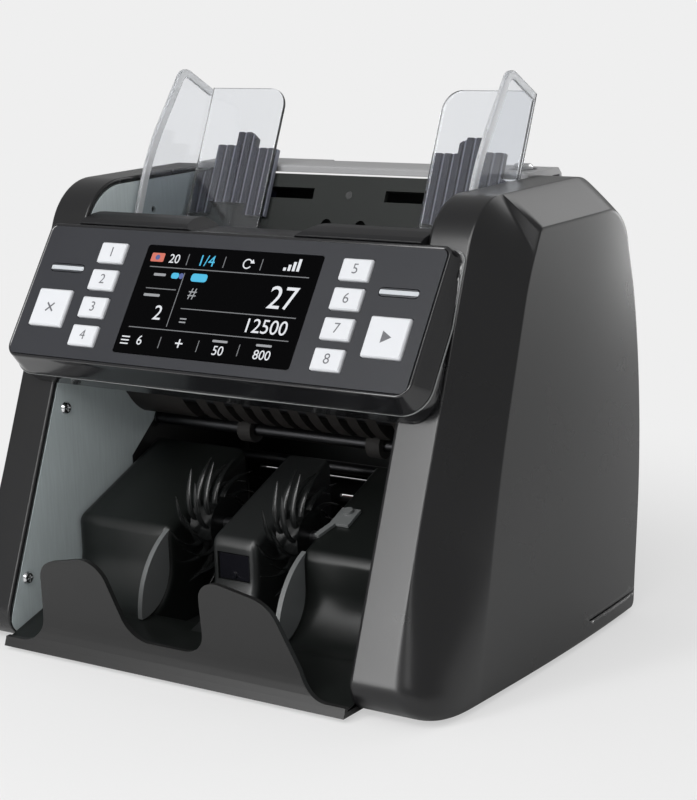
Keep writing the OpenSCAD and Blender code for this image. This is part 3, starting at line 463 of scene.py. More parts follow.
# Camera: where it stands and its own axes
cameraView = {
    "place": (0.5514, -0.7455, 0.3139),
    "right": (0.8272, 0.5607, -0.0346),
    "up": (-0.0934, 0.1979, 0.9758),
    "back": (0.5540, -0.8040, 0.2161),
    "lens": 90.447, "sensor": 36, "near": 0.05, "far": 20,
}


def addCamera():
    data = bpy.data.cameras.new("viewCamera")
    data.lens, data.sensor_width = cameraView["lens"], cameraView["sensor"]
    data.clip_start, data.clip_end = cameraView["near"], cameraView["far"]
    camera = addObject("viewCamera", data)
    axes = Matrix((cameraView["right"], cameraView["up"], cameraView["back"])).transposed()
    camera.matrix_world = Matrix.Translation(cameraView["place"]) @ axes.to_4x4()
    bpy.context.scene.camera = camera


addCamera()
print("camera set")


# Side covers: a band over the outline, a facet down to the crease, and a slightly bowed flank
cover = {
    "lean": math.tan(math.radians(21.9)),   # slope of the front strips
    "front": -98.8, "foot": 2.0, "top": 211.0, "knee": 95.0,
    # the band's outline behind its front, and the crease's, as (y, z) corners, and how far each is rounded
    "bandBack": [(9, 211), (93.5, 211), (107.2, 104), (94.5, 2)], "bandReach": [19, 20, 20.3, 3, 20, 55, 4],
    "creaseLine": [(-55.4, 3), (-34.0, 95), (-4.5, 176), (7.4, 197), (88.5, 197), (103.6, 104), (91.5, 3)],
    "creaseReach": [2, 35, 11, 2.2, 18, 55, 3],
    "inner": 97.2, "edge": 117.8, "edgeFoot": 125.3, "footFlare": 24.0,
    "crease": 136.0, "creaseFoot": 138.0, "creaseTop": 190.0,
    # where the flank's bow starts and ends, each as y = a + b z + c z^2, and where it fades towards the top
    "bow": 1.7, "bowFront": (-56, 0.17, 0.00075), "bowRear": (91, 0.22, -0.00105),
    "bowTop": 200.0, "bowFade": 120.0, "rearTurn": 1.0, "turnFrom": 0.45, "middle": (28.0, 100.0),
    # how full the facet is: nearly flat above, rounder at the foot and along the back
    "flatSwell": 0.03, "cornerSwell": 1.1, "swellHeight": 42.0,
    "backSwell": 2.0, "backFrom": 90.0, "backOver": 14.0, "backTop": 196.0, "backFade": 40.0,
    "wall": 2.4, "grooveLow": (136.9, 42, 9.9), "grooveHigh": (141, 95, 10.9),
}


def frontLine(z):
    # depth of the strips' plane at a height
    return cover["front"] + (z - cover["foot"]) * cover["lean"]


def easeIn(t):
    # smooth step: 3 t^2 - 2 t^3
    return t * t * (3 - 2 * t)


def flankX(y, z):
    # the flank widens towards its foot, and bows out by half a sine from the front crease to the back
    bowStart, bowEnd = (a + b * z + c * z ** 2 for a, b, c in (cover["bowFront"], cover["bowRear"]))
    share = np.clip((y - bowStart) / (bowEnd - bowStart), 0, 1)
    fade = np.clip((cover["bowTop"] - z) / cover["bowFade"], 0, 1)
    widening = (cover["creaseFoot"] - cover["crease"]) * np.clip(1 - z / cover["creaseTop"], 0, 1)
    bow = cover["bow"] * np.sin(np.pi * share) * easeIn(fade)
    turn = np.clip((share - cover["turnFrom"]) / (1 - cover["turnFrom"]), 0, 1)
    return cover["crease"] + widening + bow - cover["rearTurn"] * turn ** 3


def facetSwell(band):
    # weight that draws the facet out towards its corner, for each point of the band
    y, z = band.T
    low = cover["cornerSwell"] * np.exp(-((z - cover["foot"]) / cover["swellHeight"]) ** 2)
    behind = easeIn(np.clip((y - cover["backFrom"]) / cover["backOver"], 0, 1))
    behind = behind * np.clip((cover["backTop"] - z) / cover["backFade"], 0, 1)
    return cover["flatSwell"] + np.maximum(low, cover["backSwell"] * behind)


def coverNet():
    # three nets side by side: the band, the facet as a conic, and the shrinking flank
    heights = (cover["foot"], cover["knee"], cover["top"])
    band = roundedLoop([(frontLine(z), z) for z in heights] + cover["bandBack"], cover["bandReach"], 14, 14)
    crease = roundedLoop(cover["creaseLine"], cover["creaseReach"], 14, 14)
    low = np.clip(1 - (band[:, 1] - cover["foot"]) / cover["footFlare"], 0, 1) ** 2
    edgeX = cover["edge"] + (cover["edgeFoot"] - cover["edge"]) * low
    creaseX = flankX(crease[:, 0], crease[:, 1])
    start = np.column_stack([edgeX, band])[:, None]
    finish = np.column_stack([creaseX, crease])[:, None]
    corner = np.column_stack([creaseX, band])[:, None]
    swell = facetSwell(band)[:, None, None]
    t = np.concatenate([[0.0, 0.04], np.linspace(0.1, 0.9, 13), [0.96, 1.0]])[None, :, None]
    facet = conic(start, corner, finish, swell, t)
    across = np.concatenate([[0, 0.06], np.linspace(0.2, 0.85, 4), [0.95]])[None, :, None]
    inner = start * [0, 1, 1] + [cover["inner"], 0, 0]
    bandNet = inner * (1 - across) + start * across
    shrink = np.concatenate([[0.985, 0.96], np.linspace(0.9, 0.06, 14), [0.0]])[None, :, None]
    middle = np.array([0, *cover["middle"]])
    flank = middle + (finish - middle) * shrink
    flank[:, :, 0] = flankX(flank[:, :, 1], flank[:, :, 2])
    return np.concatenate([bandNet, facet, flank], axis=1)


def makeCover(side, node):
    # the net mirrored for its side, given its wall, with a groove cut in near the rear foot
    net = coverNet()
    net[..., 0] *= side
    piece = makePiece(node + "Shell", gridMesh(node, net, loopU=True), paint["cover"], "frame",
                      "cover_plastic", smoothAngle=60)
    solidify(piece, cover["wall"])
    low, high = cover["grooveLow"], cover["grooveHigh"]
    spans = sorted((side * low[0], side * high[0]))
    cutBy(piece, boxMesh((spans[0], *low[1:]), (spans[1], *high[1:])))
    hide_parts(node)


makeCover(1, "right_side_cover")
makeCover(-1, "left_side_cover")
print("side covers made")

# Key panel: places on its slope are across, up the slope, and out of the face
panel = {
    "centre": (0, -47.2, 163.8), "lean": math.radians(34.4), "overlay": (222.8, 66.8), "window": (0.5, -0.7),
    # the bezel spreads sideways and drops while it falls to the strips
    "rim": 1.8, "fall": 12.0, "spread": 3.4, "drop": 3.6, "lip": 0.9, "wall": 1.6, "stripGap": 0.3,
    "lowReach": (7.0, 13.0), "highReach": (4.5, 5.0),
    # heights below the face, and the part that tucks in under the overlay as (growth past the rim, height)
    "inside": ((-5.0, -2.3), (0.2, -2.2), (0.2, -0.35)),
    "slant": (2, 4, 7, 10, 12), "skirt": (15, 18, 21, 24),
    "glintRadius": 0.35, "glintOut": 0.25, "glintRing": -5,   # the painted highlight cord follows the slant's last ring
    "plateDrop": 1.15,   # from the overlay down to the plate behind it
}
panelUp = np.array([0, math.sin(panel["lean"]), math.cos(panel["lean"])])
panelOut = np.array([0, -math.cos(panel["lean"]), math.sin(panel["lean"])])


def onPanel(points):
    # centre + across, plus up the slope, plus out of the face
    points = np.asarray(points, float)
    return (np.array(panel["centre"]) + points[..., :1] * [1, 0, 0] + points[..., 1:2] * panelUp
            + points[..., 2:3] * panelOut)


# CAD parts: the finish, how much edges are rounded (0 keeps the solid), and the parts that take both
finishRows = [
    ("black", 0.5, "upper_sensor_bar lower_sensor_bar rear_panel rear_door"),
    ("black", 0.4, "base_tray"), ("black", 0.3, "power_inlet"), ("black", 0, "guide_pinion"),
    ("rubber", 0.4, "rubber_feet separation_rollers pickup_rollers feed_rollers"),
    ("rubber", 0.3, "exit_rollers"), ("rubber", 0, "drive_belts"),
    ("frameSteel", 0.25, "left_side_frame right_side_frame"),
    # the tie bars and exit shaft take the near-black steel as painted shade
    ("shadeBlackSteel", 0.2, "tie_bars exit_shaft"), ("steel", 0.3, "gap_knob"), ("steel", 0.15, "frame_screws"),
    ("overlay", 0.12, "panel_overlay"), ("window", 0.15, "display_window"),
    ("module", 0.5, "main_motor stacker_motor"), ("module", 0, "display_module"),
    ("light", 0.2, "light_bars"), ("board", 0, "keypad_board main_board"), ("lipBlack", 0.6, "hopper"),
    ("backPlate", 0.3, "hopper_back_plate"), ("lid", 0.5, "top_lid"), ("plate", 0.9, "stacker_front_plate"),
    ("fin", 0.4, "stacker_guide_fins"), ("fin", 0.3, "stack_sensor_bracket"),
    ("sensor", 0.2, "sensor_window"), ("phenolic", 0, "power_supply"),
    ("navy", 0.2, "left_guide_carriage right_guide_carriage"),
    ("darkSteel", 0.2, "pickup_shaft feed_shaft stacker_shaft"),
    ("white", 0.2, "motor_pulley"), ("red", 0.4, "power_switch"),
]
finishes = {name: (finish, width) for finish, width, names in finishRows for name in names.split()}
finishes.update({name: ("key", 0.25) for name in nodes if name.startswith("key_")})

# Second tones on CAD parts: their colours, and where they start in mm
secondTones = {
    # painted shade on the frames behind the exit shaft, and the edges where it starts
    "paintedShade": (0.012, 0.012, 0.012), "paintedShadeEdges": [(0, 1, 0, 2.0), (0, 1, -1.2, -84.0)],
    "rockerSide": (0.008, 0.008, 0.008), "rockerDepth": 4.0,
    "lightEdge": (0.030, 0.032, 0.037), "lightHalf": 1.0,
}


def spanAlong(node, axis):
    # least and greatest distance of a CAD part along an axis
    along = np.array([v.co for v in nodes[node].data.vertices]) @ axis / mm
    return along.min(), along.max()


def addSecondTones():
    # painted shade: the frames are darkened behind the exit shaft
    toneBeyond(paint["frameSteel"], secondTones["paintedShade"], secondTones["paintedShadeEdges"])
    # only the rocker's outer face is red
    face = spanAlong("power_switch", np.array([0, 1, 0]))[1]
    toneBeyond(paint["red"], secondTones["rockerSide"], [(0, -1, 0, secondTones["rockerDepth"] - face)])
    # only the middle of each light bar is lit, with slate above and below it
    middle = sum(spanAlong("light_bars", panelUp)) / 2
    for turn in (1, -1):
        edge = (*(turn * panelUp), turn * middle + secondTones["lightHalf"])
        toneBeyond(paint["light"], secondTones["lightEdge"], [edge])


def finishParts():
    for name, (finish, width) in finishes.items():
        if width:
            softCopy(name, paint[finish], width)
        else:
            nodes[name].data.materials.clear()
            nodes[name].data.materials.append(paint[finish])


addSecondTones()
finishParts()
print("CAD parts finished:", len(finishes))


# Bezel: a rounded frame round the panel, ended on the strips
def bezelLoop(share, grow):
    # rounded rectangle that spreads sideways and downwards as share goes from 0 to 1
    halfW = panel["overlay"][0] / 2 + panel["rim"] + panel["spread"] * share + grow
    high = panel["overlay"][1] / 2 + panel["rim"] + grow
    low = -high - panel["drop"] * share
    lowReach, highReach = ((1 - share) * panel[name][0] + share * panel[name][1] + grow
                           for name in ("lowReach", "highReach"))
    return roundedLoop([(-halfW, low), (halfW, low), (halfW, high), (-halfW, high)],
                       [lowReach, lowReach, highReach, highReach], 10, 14)


def bezelNet():
    # a profile of (share of the spread, growth, height) carried round the panel to the strips' plane
    rim, lip, fall = panel["rim"], panel["lip"], panel["fall"]
    profile = [(0, grow - rim, height) for grow, height in panel["inside"]]
    profile += [(0, -lip * (1 - math.sin(a)), -lip * (1 - math.cos(a))) for a in np.linspace(0, np.pi / 2, 6)]
    profile += [(w / fall, 0, -lip - w * (1 - lip / fall)) for w in panel["slant"]]
    profile += [(1, 0, -w) for w in panel["skirt"]]
    rings = []
    for share, grow, height in profile:
        loop = bezelLoop(share, grow)
        rings.append(onPanel(np.column_stack([loop, np.full(len(loop), float(height))])))
    net = np.stack(rings, axis=1)
    behind = np.clip(net[..., 1] - (frontLine(net[..., 2]) - panel["stripGap"]), 0, None)
    step = behind / (-panelOut[1] + panelOut[2] * cover["lean"])
    return net + step[..., None] * panelOut


def makeSeamGlint(foot):
    # painted highlight: a fine pale cord of six sides along the line where the bezel meets the strips,
    # standing in for the glint on that edge
    outward = foot - foot.mean(axis=0)
    outward = unit(outward - np.outer(outward @ panelOut, panelOut))
    turn = np.linspace(0, 2 * np.pi, 6, endpoint=False)[None, :, None]
    radius = panel["glintRadius"]
    cord = (foot[:, None] + outward[:, None] * (panel["glintOut"] + radius * np.cos(turn))
            + panelOut * radius * np.sin(turn))
    makePiece("panelSeamGlint", gridMesh("panelSeamGlint", cord, loopU=True, loopV=True), paint["seam"], "frame",
              "gloss_black")


def makeBezel():
    net = bezelNet()
    piece = makePiece("bezelRim", gridMesh("bezelRim", net, loopU=True), paint["bezel"], "frame",
                      "gloss_black")
    solidify(piece, panel["wall"])
    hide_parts("panel_bezel")
    # the pale cord along the bezel's foot is a painted highlight
    makeSeamGlint(net[:, panel["glintRing"]])
    backing = nodes["panel_overlay"].data.copy()
    backing.transform(Matrix.Translation(Vector(panelOut) * -panel["plateDrop"] * mm))
    makePiece("bezelPlate", backing, paint["black"], "frame", "gloss_black", merge=False)


makeBezel()
print("bezel made")


# Marks on the keys and the display: plain digits and signs, as thin raised ink
ink = {"height": 0.05, "digitScale": 1.38}


def flatShape(outline):
    # an outline raised by the ink's height
    base = np.column_stack([outline, np.zeros(len(outline))])
    return prism(base + (0, 0, ink["height"]), base)


def bar(x, y, width, height, radius=0.0):
    # rectangle round its centre, with round corners where a radius is given
    x0, x1, y0, y1 = x - width / 2, x + width / 2, y - height / 2, y + height / 2
    corners = [(x0, y0), (x1, y0), (x1, y1), (x0, y1)]
    return roundedLoop(corners, radius, 1, 5) if radius else np.array(corners)


def ring(x, y, outer, inner, start=0.0, sweep=360.0, steps=28):
    # an open band between two radii, drawn as one outline
    spoke = spokes(np.radians(np.linspace(start, start + sweep, steps)))
    return np.concatenate([spoke * outer, spoke[::-1] * inner]) + (x, y)


def digitShape(body, x, y, size, align="CENTER"):
    # digits or a sign as a mesh, then only its corners and faces
    curve = bpy.data.curves.new("digits", "FONT")
    curve.body, curve.size, curve.extrude = body, size * ink["digitScale"] * mm, ink["height"] * mm / 2
    curve.align_x, curve.align_y = align, "CENTER"
    holder = addObject("digits", curve)
    mesh = bakedMesh(holder)
    bpy.data.objects.remove(holder)
    bpy.data.curves.remove(curve)
    points = np.array([v.co for v in mesh.vertices]) / mm + (x, y, ink["height"] / 2)
    faces = [tuple(p.vertices) for p in mesh.polygons]
    bpy.data.meshes.remove(mesh)
    return points, faces


def makeInk(name, shapes, digits, finish, body, slot, lift, centre=(0, 0)):
    # every shape and digit of one colour in one mesh, round a centre on the panel
    parts = [flatShape(outline) for outline in shapes] + [digitShape(*row) for row in digits]
    points, faces = joinParts(parts)
    mesh = newMesh(name, onPanel(points + (*centre, lift)), faces)
    makePiece(name, mesh, paint[finish], body, slot, smoothAngle=30, merge=False)


keyMarks = {
    "rows": (20.8, 6.8, -7.4, -21.8), "smallX": 68.8, "large": (94.4, -9.3), "size": 5.0, "lift": 1.36,
    "digits": {"left": "1234", "right": "5678"}, "armLong": 3.0, "armHalf": 0.45,
    "arrow": [(-1.9, -2.9), (3.1, 0), (-1.9, 2.9)],
}


def crossShape():
    # plus sign turned by an eighth of a turn
    long, half = keyMarks["armLong"], keyMarks["armHalf"]
    quarter = np.array([(-half, -long), (half, -long), (half, -half)])
    turned = [quarter @ np.linalg.matrix_power(np.array([[0, 1], [-1, 0]]), k) for k in range(4)]
    return np.concatenate(turned) @ (np.array([[1, 1], [-1, 1]]) / math.sqrt(2))


def markKeys():
    for sign, side in ((-1, "left"), (1, "right")):
        for number, (y, digit) in enumerate(zip(keyMarks["rows"], keyMarks["digits"][side]), 1):
            row = (digit, sign * keyMarks["smallX"], y, keyMarks["size"])
            makeInk(f"{side}Legend{number}", [], [row], "ink", f"key_{side}_{number}", "key_plastic",
                    keyMarks["lift"])
    x, y = keyMarks["large"]
    for name, shape, place, body in (("stopLegend", crossShape(), (-x, y), "key_left_large"),
                                     ("startLegend", keyMarks["arrow"], (x, y), "key_right_large")):
        makeInk(name, [shape], [], "ink", body, "key_plastic", keyMarks["lift"], place)


# Display, in mm from its centre
screen = {
    "lift": 0.02, "line": 0.42,
    "levels": ((0, 16.4, 90), (-34.2, 5.6, 17.6), (13, -3.2, 64), (0, -14.2, 90)),
    "uprights": ((-23.6, 0.8, 27), (-24.5, 21, 5.6), (-3.4, 21, 5.6), (17.4, 21, 5.6), (-24.4, -20.6, 5.6),
                 (-2.6, -20.6, 5.6), (20.2, -20.6, 5.6)),
    "menu": [(-44.6, -19.2 - 1.7 * k, 4.6, 0.6) for k in range(3)],
    "signal": [(30.5 + 2.4 * k, 19 + (k + 1) * 0.75, 1.5, (k + 1) * 1.5) for k in range(4)],
    "turnArrow": ((9.6, 21, 2.5, 1.9, 30, 300), [(11.0, 21.4), (13.4, 21.4), (12.2, 23.4)]),
    "dashes": [(-37.6, 12.6, 7, 1.3, 0.5), (-38.2, 2.2, 9.4, 1.3, 0.5), (8.8, -17.3, 8.4, 1.1, 0.45),
               (33, -17.3, 8.4, 1.1, 0.45)],
    "pills": [(-14.6, 12.4, 9.2, 4.0, 1.5), (-28.6, 12.6, 4.4, 2.9, 1.2)],
    "note": (-42.2, 21.2, 7.6, 4.4, 0.6), "noteSpot": (-42.2, 21.2, 1.3, 0.02, 0, 359),
    "pillEnd": (-25.0, 12.6, 2.4, 2.9, 1.1),
    "white": [("27", 42.5, 5.2, 11.4, "RIGHT"), ("12500", 42.5, -8.8, 7.0, "RIGHT"), ("20", -32.2, 20.8, 4.6),
              ("2", -31.2, -6.6, 7.4), ("50", 9.2, -22, 4.6), ("800", 33.4, -22, 4.6),
              ("+", -13.4, -20.6, 6.4), ("6", -36.2, -20.6, 4.8)],
    "soft": [("#", -15.4, 4.6, 5.6), ("=", -15.6, -9.4, 5.6)],
    "cyan": [("1/4", -13.6, 20.8, 5.6)],
}


def bars(*names):
    # every bar in the named rows of the display
    return [bar(*row) for name in names for row in screen[name]]


def drawScreen():
    line = screen["line"]
    rules = [bar(x, y, length, line) for x, y, length in screen["levels"]]
    rules += [bar(x, y, line, length) for x, y, length in screen["uprights"]]
    circle, head = screen["turnArrow"]
    layers = (
        ("screenLines", rules, [], "screenGrey"),
        ("screenWhite", bars("menu", "signal") + [ring(*circle), head], screen["white"], "screenWhite"),
        ("screenSoft", bars("dashes"), screen["soft"], "screenSoft"),
        ("screenCyan", bars("pills"), screen["cyan"], "screenCyan"),
        ("screenNote", [bar(*screen["note"])], [], "screenCoral"),
        ("screenNoteSpot", [ring(*screen["noteSpot"]), bar(*screen["pillEnd"])], [], "screenBlue"),
    )
    for name, shapes, digits, finish in layers:
        lift = screen["lift"] + (ink["height"] if name == "screenNoteSpot" else 0)
        makeInk(name, shapes, digits, finish, "frame", "window_glass", lift, panel["window"])


markKeys()
drawScreen()
print("marks drawn")


# Stacker: three rounded blocks stand on a sloping floor, with slots for the wheels between them
stacker = {
    "face": -43.5, "rampZ": 52.3, "slope": math.radians(22.5), "rampEnd": 18.0, "edge": 6.5, "fillet": 22.0,
    "floor": 14.0, "base": 4.6, "front": -93.3, "frontTop": 5.6, "floorReach": 38.0, "half": 96.7,
    "wall": 2.2,
    "blocks": (("leftBlock", -96.7, -38.0, 6.2, 4.5), ("middleBlock", -13.0, 13.0, 3.5, 3.5),
               ("rightBlock", 38.0, 96.7, 4.5, 6.2)),
    "window": ((-9.2, -46, 33), (9.2, -40, 46.2)), "bores": ((-23.0, 53.0, 4.4),),
}


def blockOutline():
    # down the ramp, round its edge, down the face and out along the fillet, with the normal at each point
    face, slope, edge, fillet = stacker["face"], stacker["slope"], stacker["edge"], stacker["fillet"]
    drop = edge * (math.cos(slope) - (1 - math.sin(slope)) * math.tan(slope))
    rampTop = stacker["rampZ"] + (stacker["rampEnd"] - face) * math.tan(slope)
    edgeCentre = np.array([face + edge, stacker["rampZ"] - drop])
    turn = np.linspace(math.pi / 2 + slope, math.pi, 12)
    edgeArc = edgeCentre + edge * spokes(turn)
    sweep = np.linspace(0, -math.pi / 2, 18)
    footArc = np.array([face - fillet, stacker["floor"] + fillet]) + fillet * spokes(sweep)
    share = np.linspace(0, 1, 8)[:, None]
    ramp = np.array([stacker["rampEnd"], rampTop]) * (1 - share) + edgeArc[0] * share
    wall = edgeArc[-1] * (1 - share) + footArc[0] * share
    line = np.concatenate([ramp, edgeArc[1:], wall[1:], footArc[1:]])
    return line, sideways(line)


def blockMesh(left, right, leftRadius, rightRadius, wall=0.0):
    # the outline, drawn in by a quarter circle near each side, closed by flat sides, back and foot
    line, normal = blockOutline()
    turn = np.linspace(0, np.pi / 2, 8)
    rows = [(left + wall + leftRadius * (1 - math.cos(a)), leftRadius * (1 - math.sin(a))) for a in turn]
    rows += [(x, 0.0) for x in np.linspace(left + leftRadius, right - rightRadius, 8)[1:-1]]
    rows += [(right - wall - rightRadius * (1 - math.cos(a)), rightRadius * (1 - math.sin(a)))
             for a in turn[::-1]]
    foot = stacker["base"] - (1 if wall else 0)
    points, count = [], len(line) + 2
    for x, inset in rows:
        drawn = line + normal * (inset + wall)
        drawn[0, 0] = stacker["rampEnd"] - wall
        drawn = np.concatenate([drawn, [[drawn[-1, 0], foot], [drawn[0, 0], foot]]])
        points.append(np.column_stack([np.full(count, x), drawn]))
    ends = [tuple(range(count)), tuple(range(len(rows) * count - 1, (len(rows) - 1) * count - 1, -1))]
    return solidMesh("block", np.concatenate(points), ends + gridFaces(len(rows), count, loopV=True))


def makeBlock(name, left, right, leftRadius, rightRadius):
    # a solid block hollowed by a smaller one that runs out through its foot, then bored for the shaft
    # the middle block takes a lighter copy of the bed plastic, painted light
    wall, finish = stacker["wall"], paint["paintedLitBed" if left < 0 < right else "bed"]
    piece = makePiece(name, blockMesh(left, right, leftRadius, rightRadius), finish, "frame", "dark_plastic")
    cutBy(piece, blockMesh(left, right, leftRadius - wall, rightRadius - wall, wall))
    for y, z, radius in stacker["bores"]:
        cutBy(piece, rodMesh((left - 1, y, z), right - left + 2, radius))
    return piece


def makeFloor():
    # closed section carried across: the sloping floor, a level stretch and the underside
    front, floor, wall = stacker["front"], stacker["floor"], stacker["wall"]
    back, bend = front + stacker["floorReach"], stacker["face"] - stacker["fillet"]
    section = np.array([(front, stacker["base"]), (front, stacker["frontTop"]), (bend, floor), (back, floor),
                        (back, floor - wall), (bend - 1, floor - wall)])
    mesh = solidMesh("stackerFloor", *slab(section, -stacker["half"], stacker["half"]))
    piece = makePiece("stackerFloor", mesh, paint["bed"], "frame", "dark_plastic", smoothAngle=20)
    roundEdges(piece, 0.5)
    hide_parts("stacker_bed")


def makeStacker():
    for block in stacker["blocks"]:
        piece = makeBlock(*block)
        if block[0] == "middleBlock":
            cutBy(piece, boxMesh(*stacker["window"]))
    makeFloor()


makeStacker()
print("stacker made")


# Exit comb: wide curved ribs under the lip, with plain cheeks beside them
comb = {
    "ribs": 10, "pitch": 11.0, "ribWidth": 6.2, "cheek": (61.0, 96.2), "outer": (28.0, 122.0, 32.95),
    "inner": (33.0, 120.0, 27.05), "top": 113.4, "foot": 93.0, "back": 15.9,
    "tieBar": (3.0, 106.0), "tieBore": 3.2, "half": 96.3,
    "lip": [(-15.9, 116.0), (-12.0, 112.7), (8.0, 112.7), (19.9, 122.0), (19.9, 124.9), (7.0, 115.9)],
}


def combProfile():
    # y = centre - sqrt(radius^2 - (z - centre)^2), down the front arc and up the back one
    z = np.linspace(comb["top"], comb["foot"], 17)
    arcs = [y - np.sqrt(np.maximum(radius ** 2 - (z - high) ** 2, 0))
            for y, high, radius in (comb["outer"], comb["inner"])]
    back = np.minimum(arcs[1], comb["back"])
    return np.concatenate([np.column_stack([arcs[0], z]), np.column_stack([back, z])[::-1]])


def makeComb():
    rib, half, (inner, outer) = combProfile(), comb["ribWidth"] / 2, comb["cheek"]
    centres = comb["pitch"] * (np.arange(comb["ribs"]) - (comb["ribs"] - 1) / 2)
    spans = [(x - half, x + half) for x in centres] + [(inner, outer), (-outer, -inner)]
    slabs = [slab(rib, *span) for span in spans] + [slab(np.array(comb["lip"]), -comb["half"], comb["half"])]
    mesh = joinMeshes("combRibs", [solidMesh("rib", *shape) for shape in slabs])
    piece = makePiece("combRibs", mesh, paint["comb"], *rideOf("exit_comb"), merge=False)
    cutBy(piece, rodMesh((-comb["half"] - 1, *comb["tieBar"]), 2 * comb["half"] + 2, comb["tieBore"]))
    roundEdges(piece, 0.5, 2, 50)
    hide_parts("exit_comb")


# Stacker wheels: two rows of sickle vanes on each hub, whose pointed tips trail upwards at the front
wheel = {
    "places": (-25.0, 25.0), "centre": (-23.0, 53.0), "hub": 12.6, "width": 12.0, "tip": 31.0, "root": 11.5,
    "vanes": 12, "firstTip": 36.0, "trail": 50.0, "rowOffset": 3.7, "vaneWidth": 3.0, "thickness": 1.5,
}


def vaneNet(x, tipAngle):
    # the reach grows as t^0.9 while the angle trails by (1 - t)^1.25, so the vane curves like a sickle
    t = np.linspace(0, 1, 15)
    reach = wheel["root"] + (wheel["tip"] - wheel["root"]) * t ** 0.9
    angle = np.radians(tipAngle - wheel["trail"] * (1 - t) ** 1.25)
    spine = np.column_stack([-reach * np.cos(angle), reach * np.sin(angle)])
    # flat oval section, narrowing to a point at the tip
    turn = np.linspace(0, 2 * np.pi, 12, endpoint=False)
    halfWidth = wheel["vaneWidth"] / 2 * (1 - t ** 3.2) + 0.12
    halfThick = wheel["thickness"] / 2 * (1 - 0.85 * t)
    squared = np.sign(np.cos(turn)) * np.abs(np.cos(turn)) ** 0.45
    acrossX = x + halfWidth[:, None] * squared[None, :]
    offset = halfThick[:, None] * np.sin(turn)[None, :]
    place = spine[:, None] + sideways(spine)[:, None] * offset[..., None] + wheel["centre"]
    return np.stack([acrossX, place[..., 0], place[..., 1]], axis=-1)


def makeWheels():
    meshes, step = [], 360 / wheel["vanes"]
    for x in wheel["places"]:
        meshes.append(rodMesh((x - wheel["width"] / 2, *wheel["centre"]), wheel["width"], wheel["hub"], 48))
        for row, offset in enumerate((-wheel["rowOffset"], wheel["rowOffset"])):
            for k in range(wheel["vanes"]):
                net = vaneNet(x + offset, wheel["firstTip"] + step * (k + row / 2))
                meshes.append(gridMesh("vane", net, loopV=True))
    mesh = joinMeshes("stackerWheels", meshes)
    piece = makePiece("stackerWheels", mesh, paint["wheel"], *rideOf("stacker_wheels"))
    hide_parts("stacker_wheels")


makeComb()
makeWheels()
print("comb and wheels made")


# Clear guides: a raised rim follows the front and top of each side wall
guide = {
    "origin": (54.0, 192.5), "lean": math.radians(24.3), "outer": 95.4, "wall": 2.2, "height": 62.0,
    "width": 49.0, "corner": 10.0, "seam": 0.05, "backFoot": -28.0, "topDrop": 0.9,
    "corners": ((37.6, -44.0), (40.0, 15.0), (28.4, 64.2), (1.0, 61.2)), "reaches": (17.0, 6.5),
    "rimWidth": 4.2, "rimProud": 0.12,
}


def onSlope(x, ahead, up):
    # a point from its distance in front of the hopper's slope and its height up it
    lean, (originY, originZ) = guide["lean"], guide["origin"]
    y = originY + up * math.sin(lean) - ahead * math.cos(lean)
    z = originZ + up * math.cos(lean) + ahead * math.sin(lean)
    return np.stack(np.broadcast_arrays(x, y, z), axis=-1)


def softCorner(before, corner, after, reach, steps=14):
    # arc between two straight runs
    into, out = before - corner, after - corner
    into, out = into / np.linalg.norm(into), out / np.linalg.norm(out)
    weight = math.sqrt((1 - np.dot(into, out)) / 2)
    t = np.linspace(0, 1, steps)[:, None]
    return conic(corner + into * reach, corner, corner + out * reach, weight, t)


def guideEdge():
    # front and top edge of a side wall, from its foot to the back wall
    corners = [np.array(c, float) for c in guide["corners"]]
    steps = np.linspace(0, 1, 24)[:-1, None]
    first = softCorner(corners[0], corners[1], corners[2], guide["reaches"][0])
    second = softCorner(corners[1], corners[2], corners[3], guide["reaches"][1])
    return np.concatenate([corners[0] * (1 - steps) + first[0] * steps, first, second, corners[3:]])


def makeGuide(side, body):
    # a side wall and a back wall, each a closed solid between two flat outlines, kept a hair apart
    wall, reach, height, foot = guide["wall"], guide["outer"], guide["height"], guide["backFoot"]
    inner, near = reach - guide["width"], reach - guide["wall"] - guide["seam"]
    edge = np.concatenate([guideEdge(), [[0.0, height - guide["topDrop"]], [0.0, foot]]])
    sides = [onSlope(side * x, edge[:, 0], edge[:, 1]) for x in (reach - wall, reach)]
    arc = softCorner(*np.array([(reach, height), (inner, height), (inner, foot)]), guide["corner"])
    back = np.concatenate([[[near, foot], [near, height]], arc, [[inner, foot]]])
    backs = [onSlope(side * back[:, 0], ahead, back[:, 1]) for ahead in (0.0, wall)]
    mesh = solidMesh(body + "Clear", *joinParts([prism(*sides), prism(*backs)]))
    piece = makePiece(body + "Clear", mesh, paint["clear"], body, "clear_guide", smoothAngle=30)
    roundEdges(piece, 0.5, 3)
    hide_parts(body)


def makeRim(side, body):
    # a rounded oblong section carried along the wall's front and top edge
    line = guideEdge()
    line[-1, 0] = guide["wall"] * 0.5
    width, thick = guide["rimWidth"], guide["wall"] + 2 * guide["rimProud"]
    section = roundedLoop([(0, -thick / 2), (width, -thick / 2), (width, thick / 2), (0, thick / 2)],
                          thick * 0.32, 2, 5)
    path = line[:, None] + sideways(line)[:, None] * section[None, :, :1]
    middle = guide["outer"] - guide["wall"] / 2
    net = onSlope(side * (middle + section[None, :, 1]), path[..., 0], path[..., 1])
    makePiece(body + "Rim", gridMesh(body + "Rim", net, loopV=True), paint["clearRim"], body, "clear_guide",
              smoothAngle=50)


for side, body in ((1, "right_guide"), (-1, "left_guide")):
    makeGuide(side, body)
    makeRim(side, body)
print("guides made")


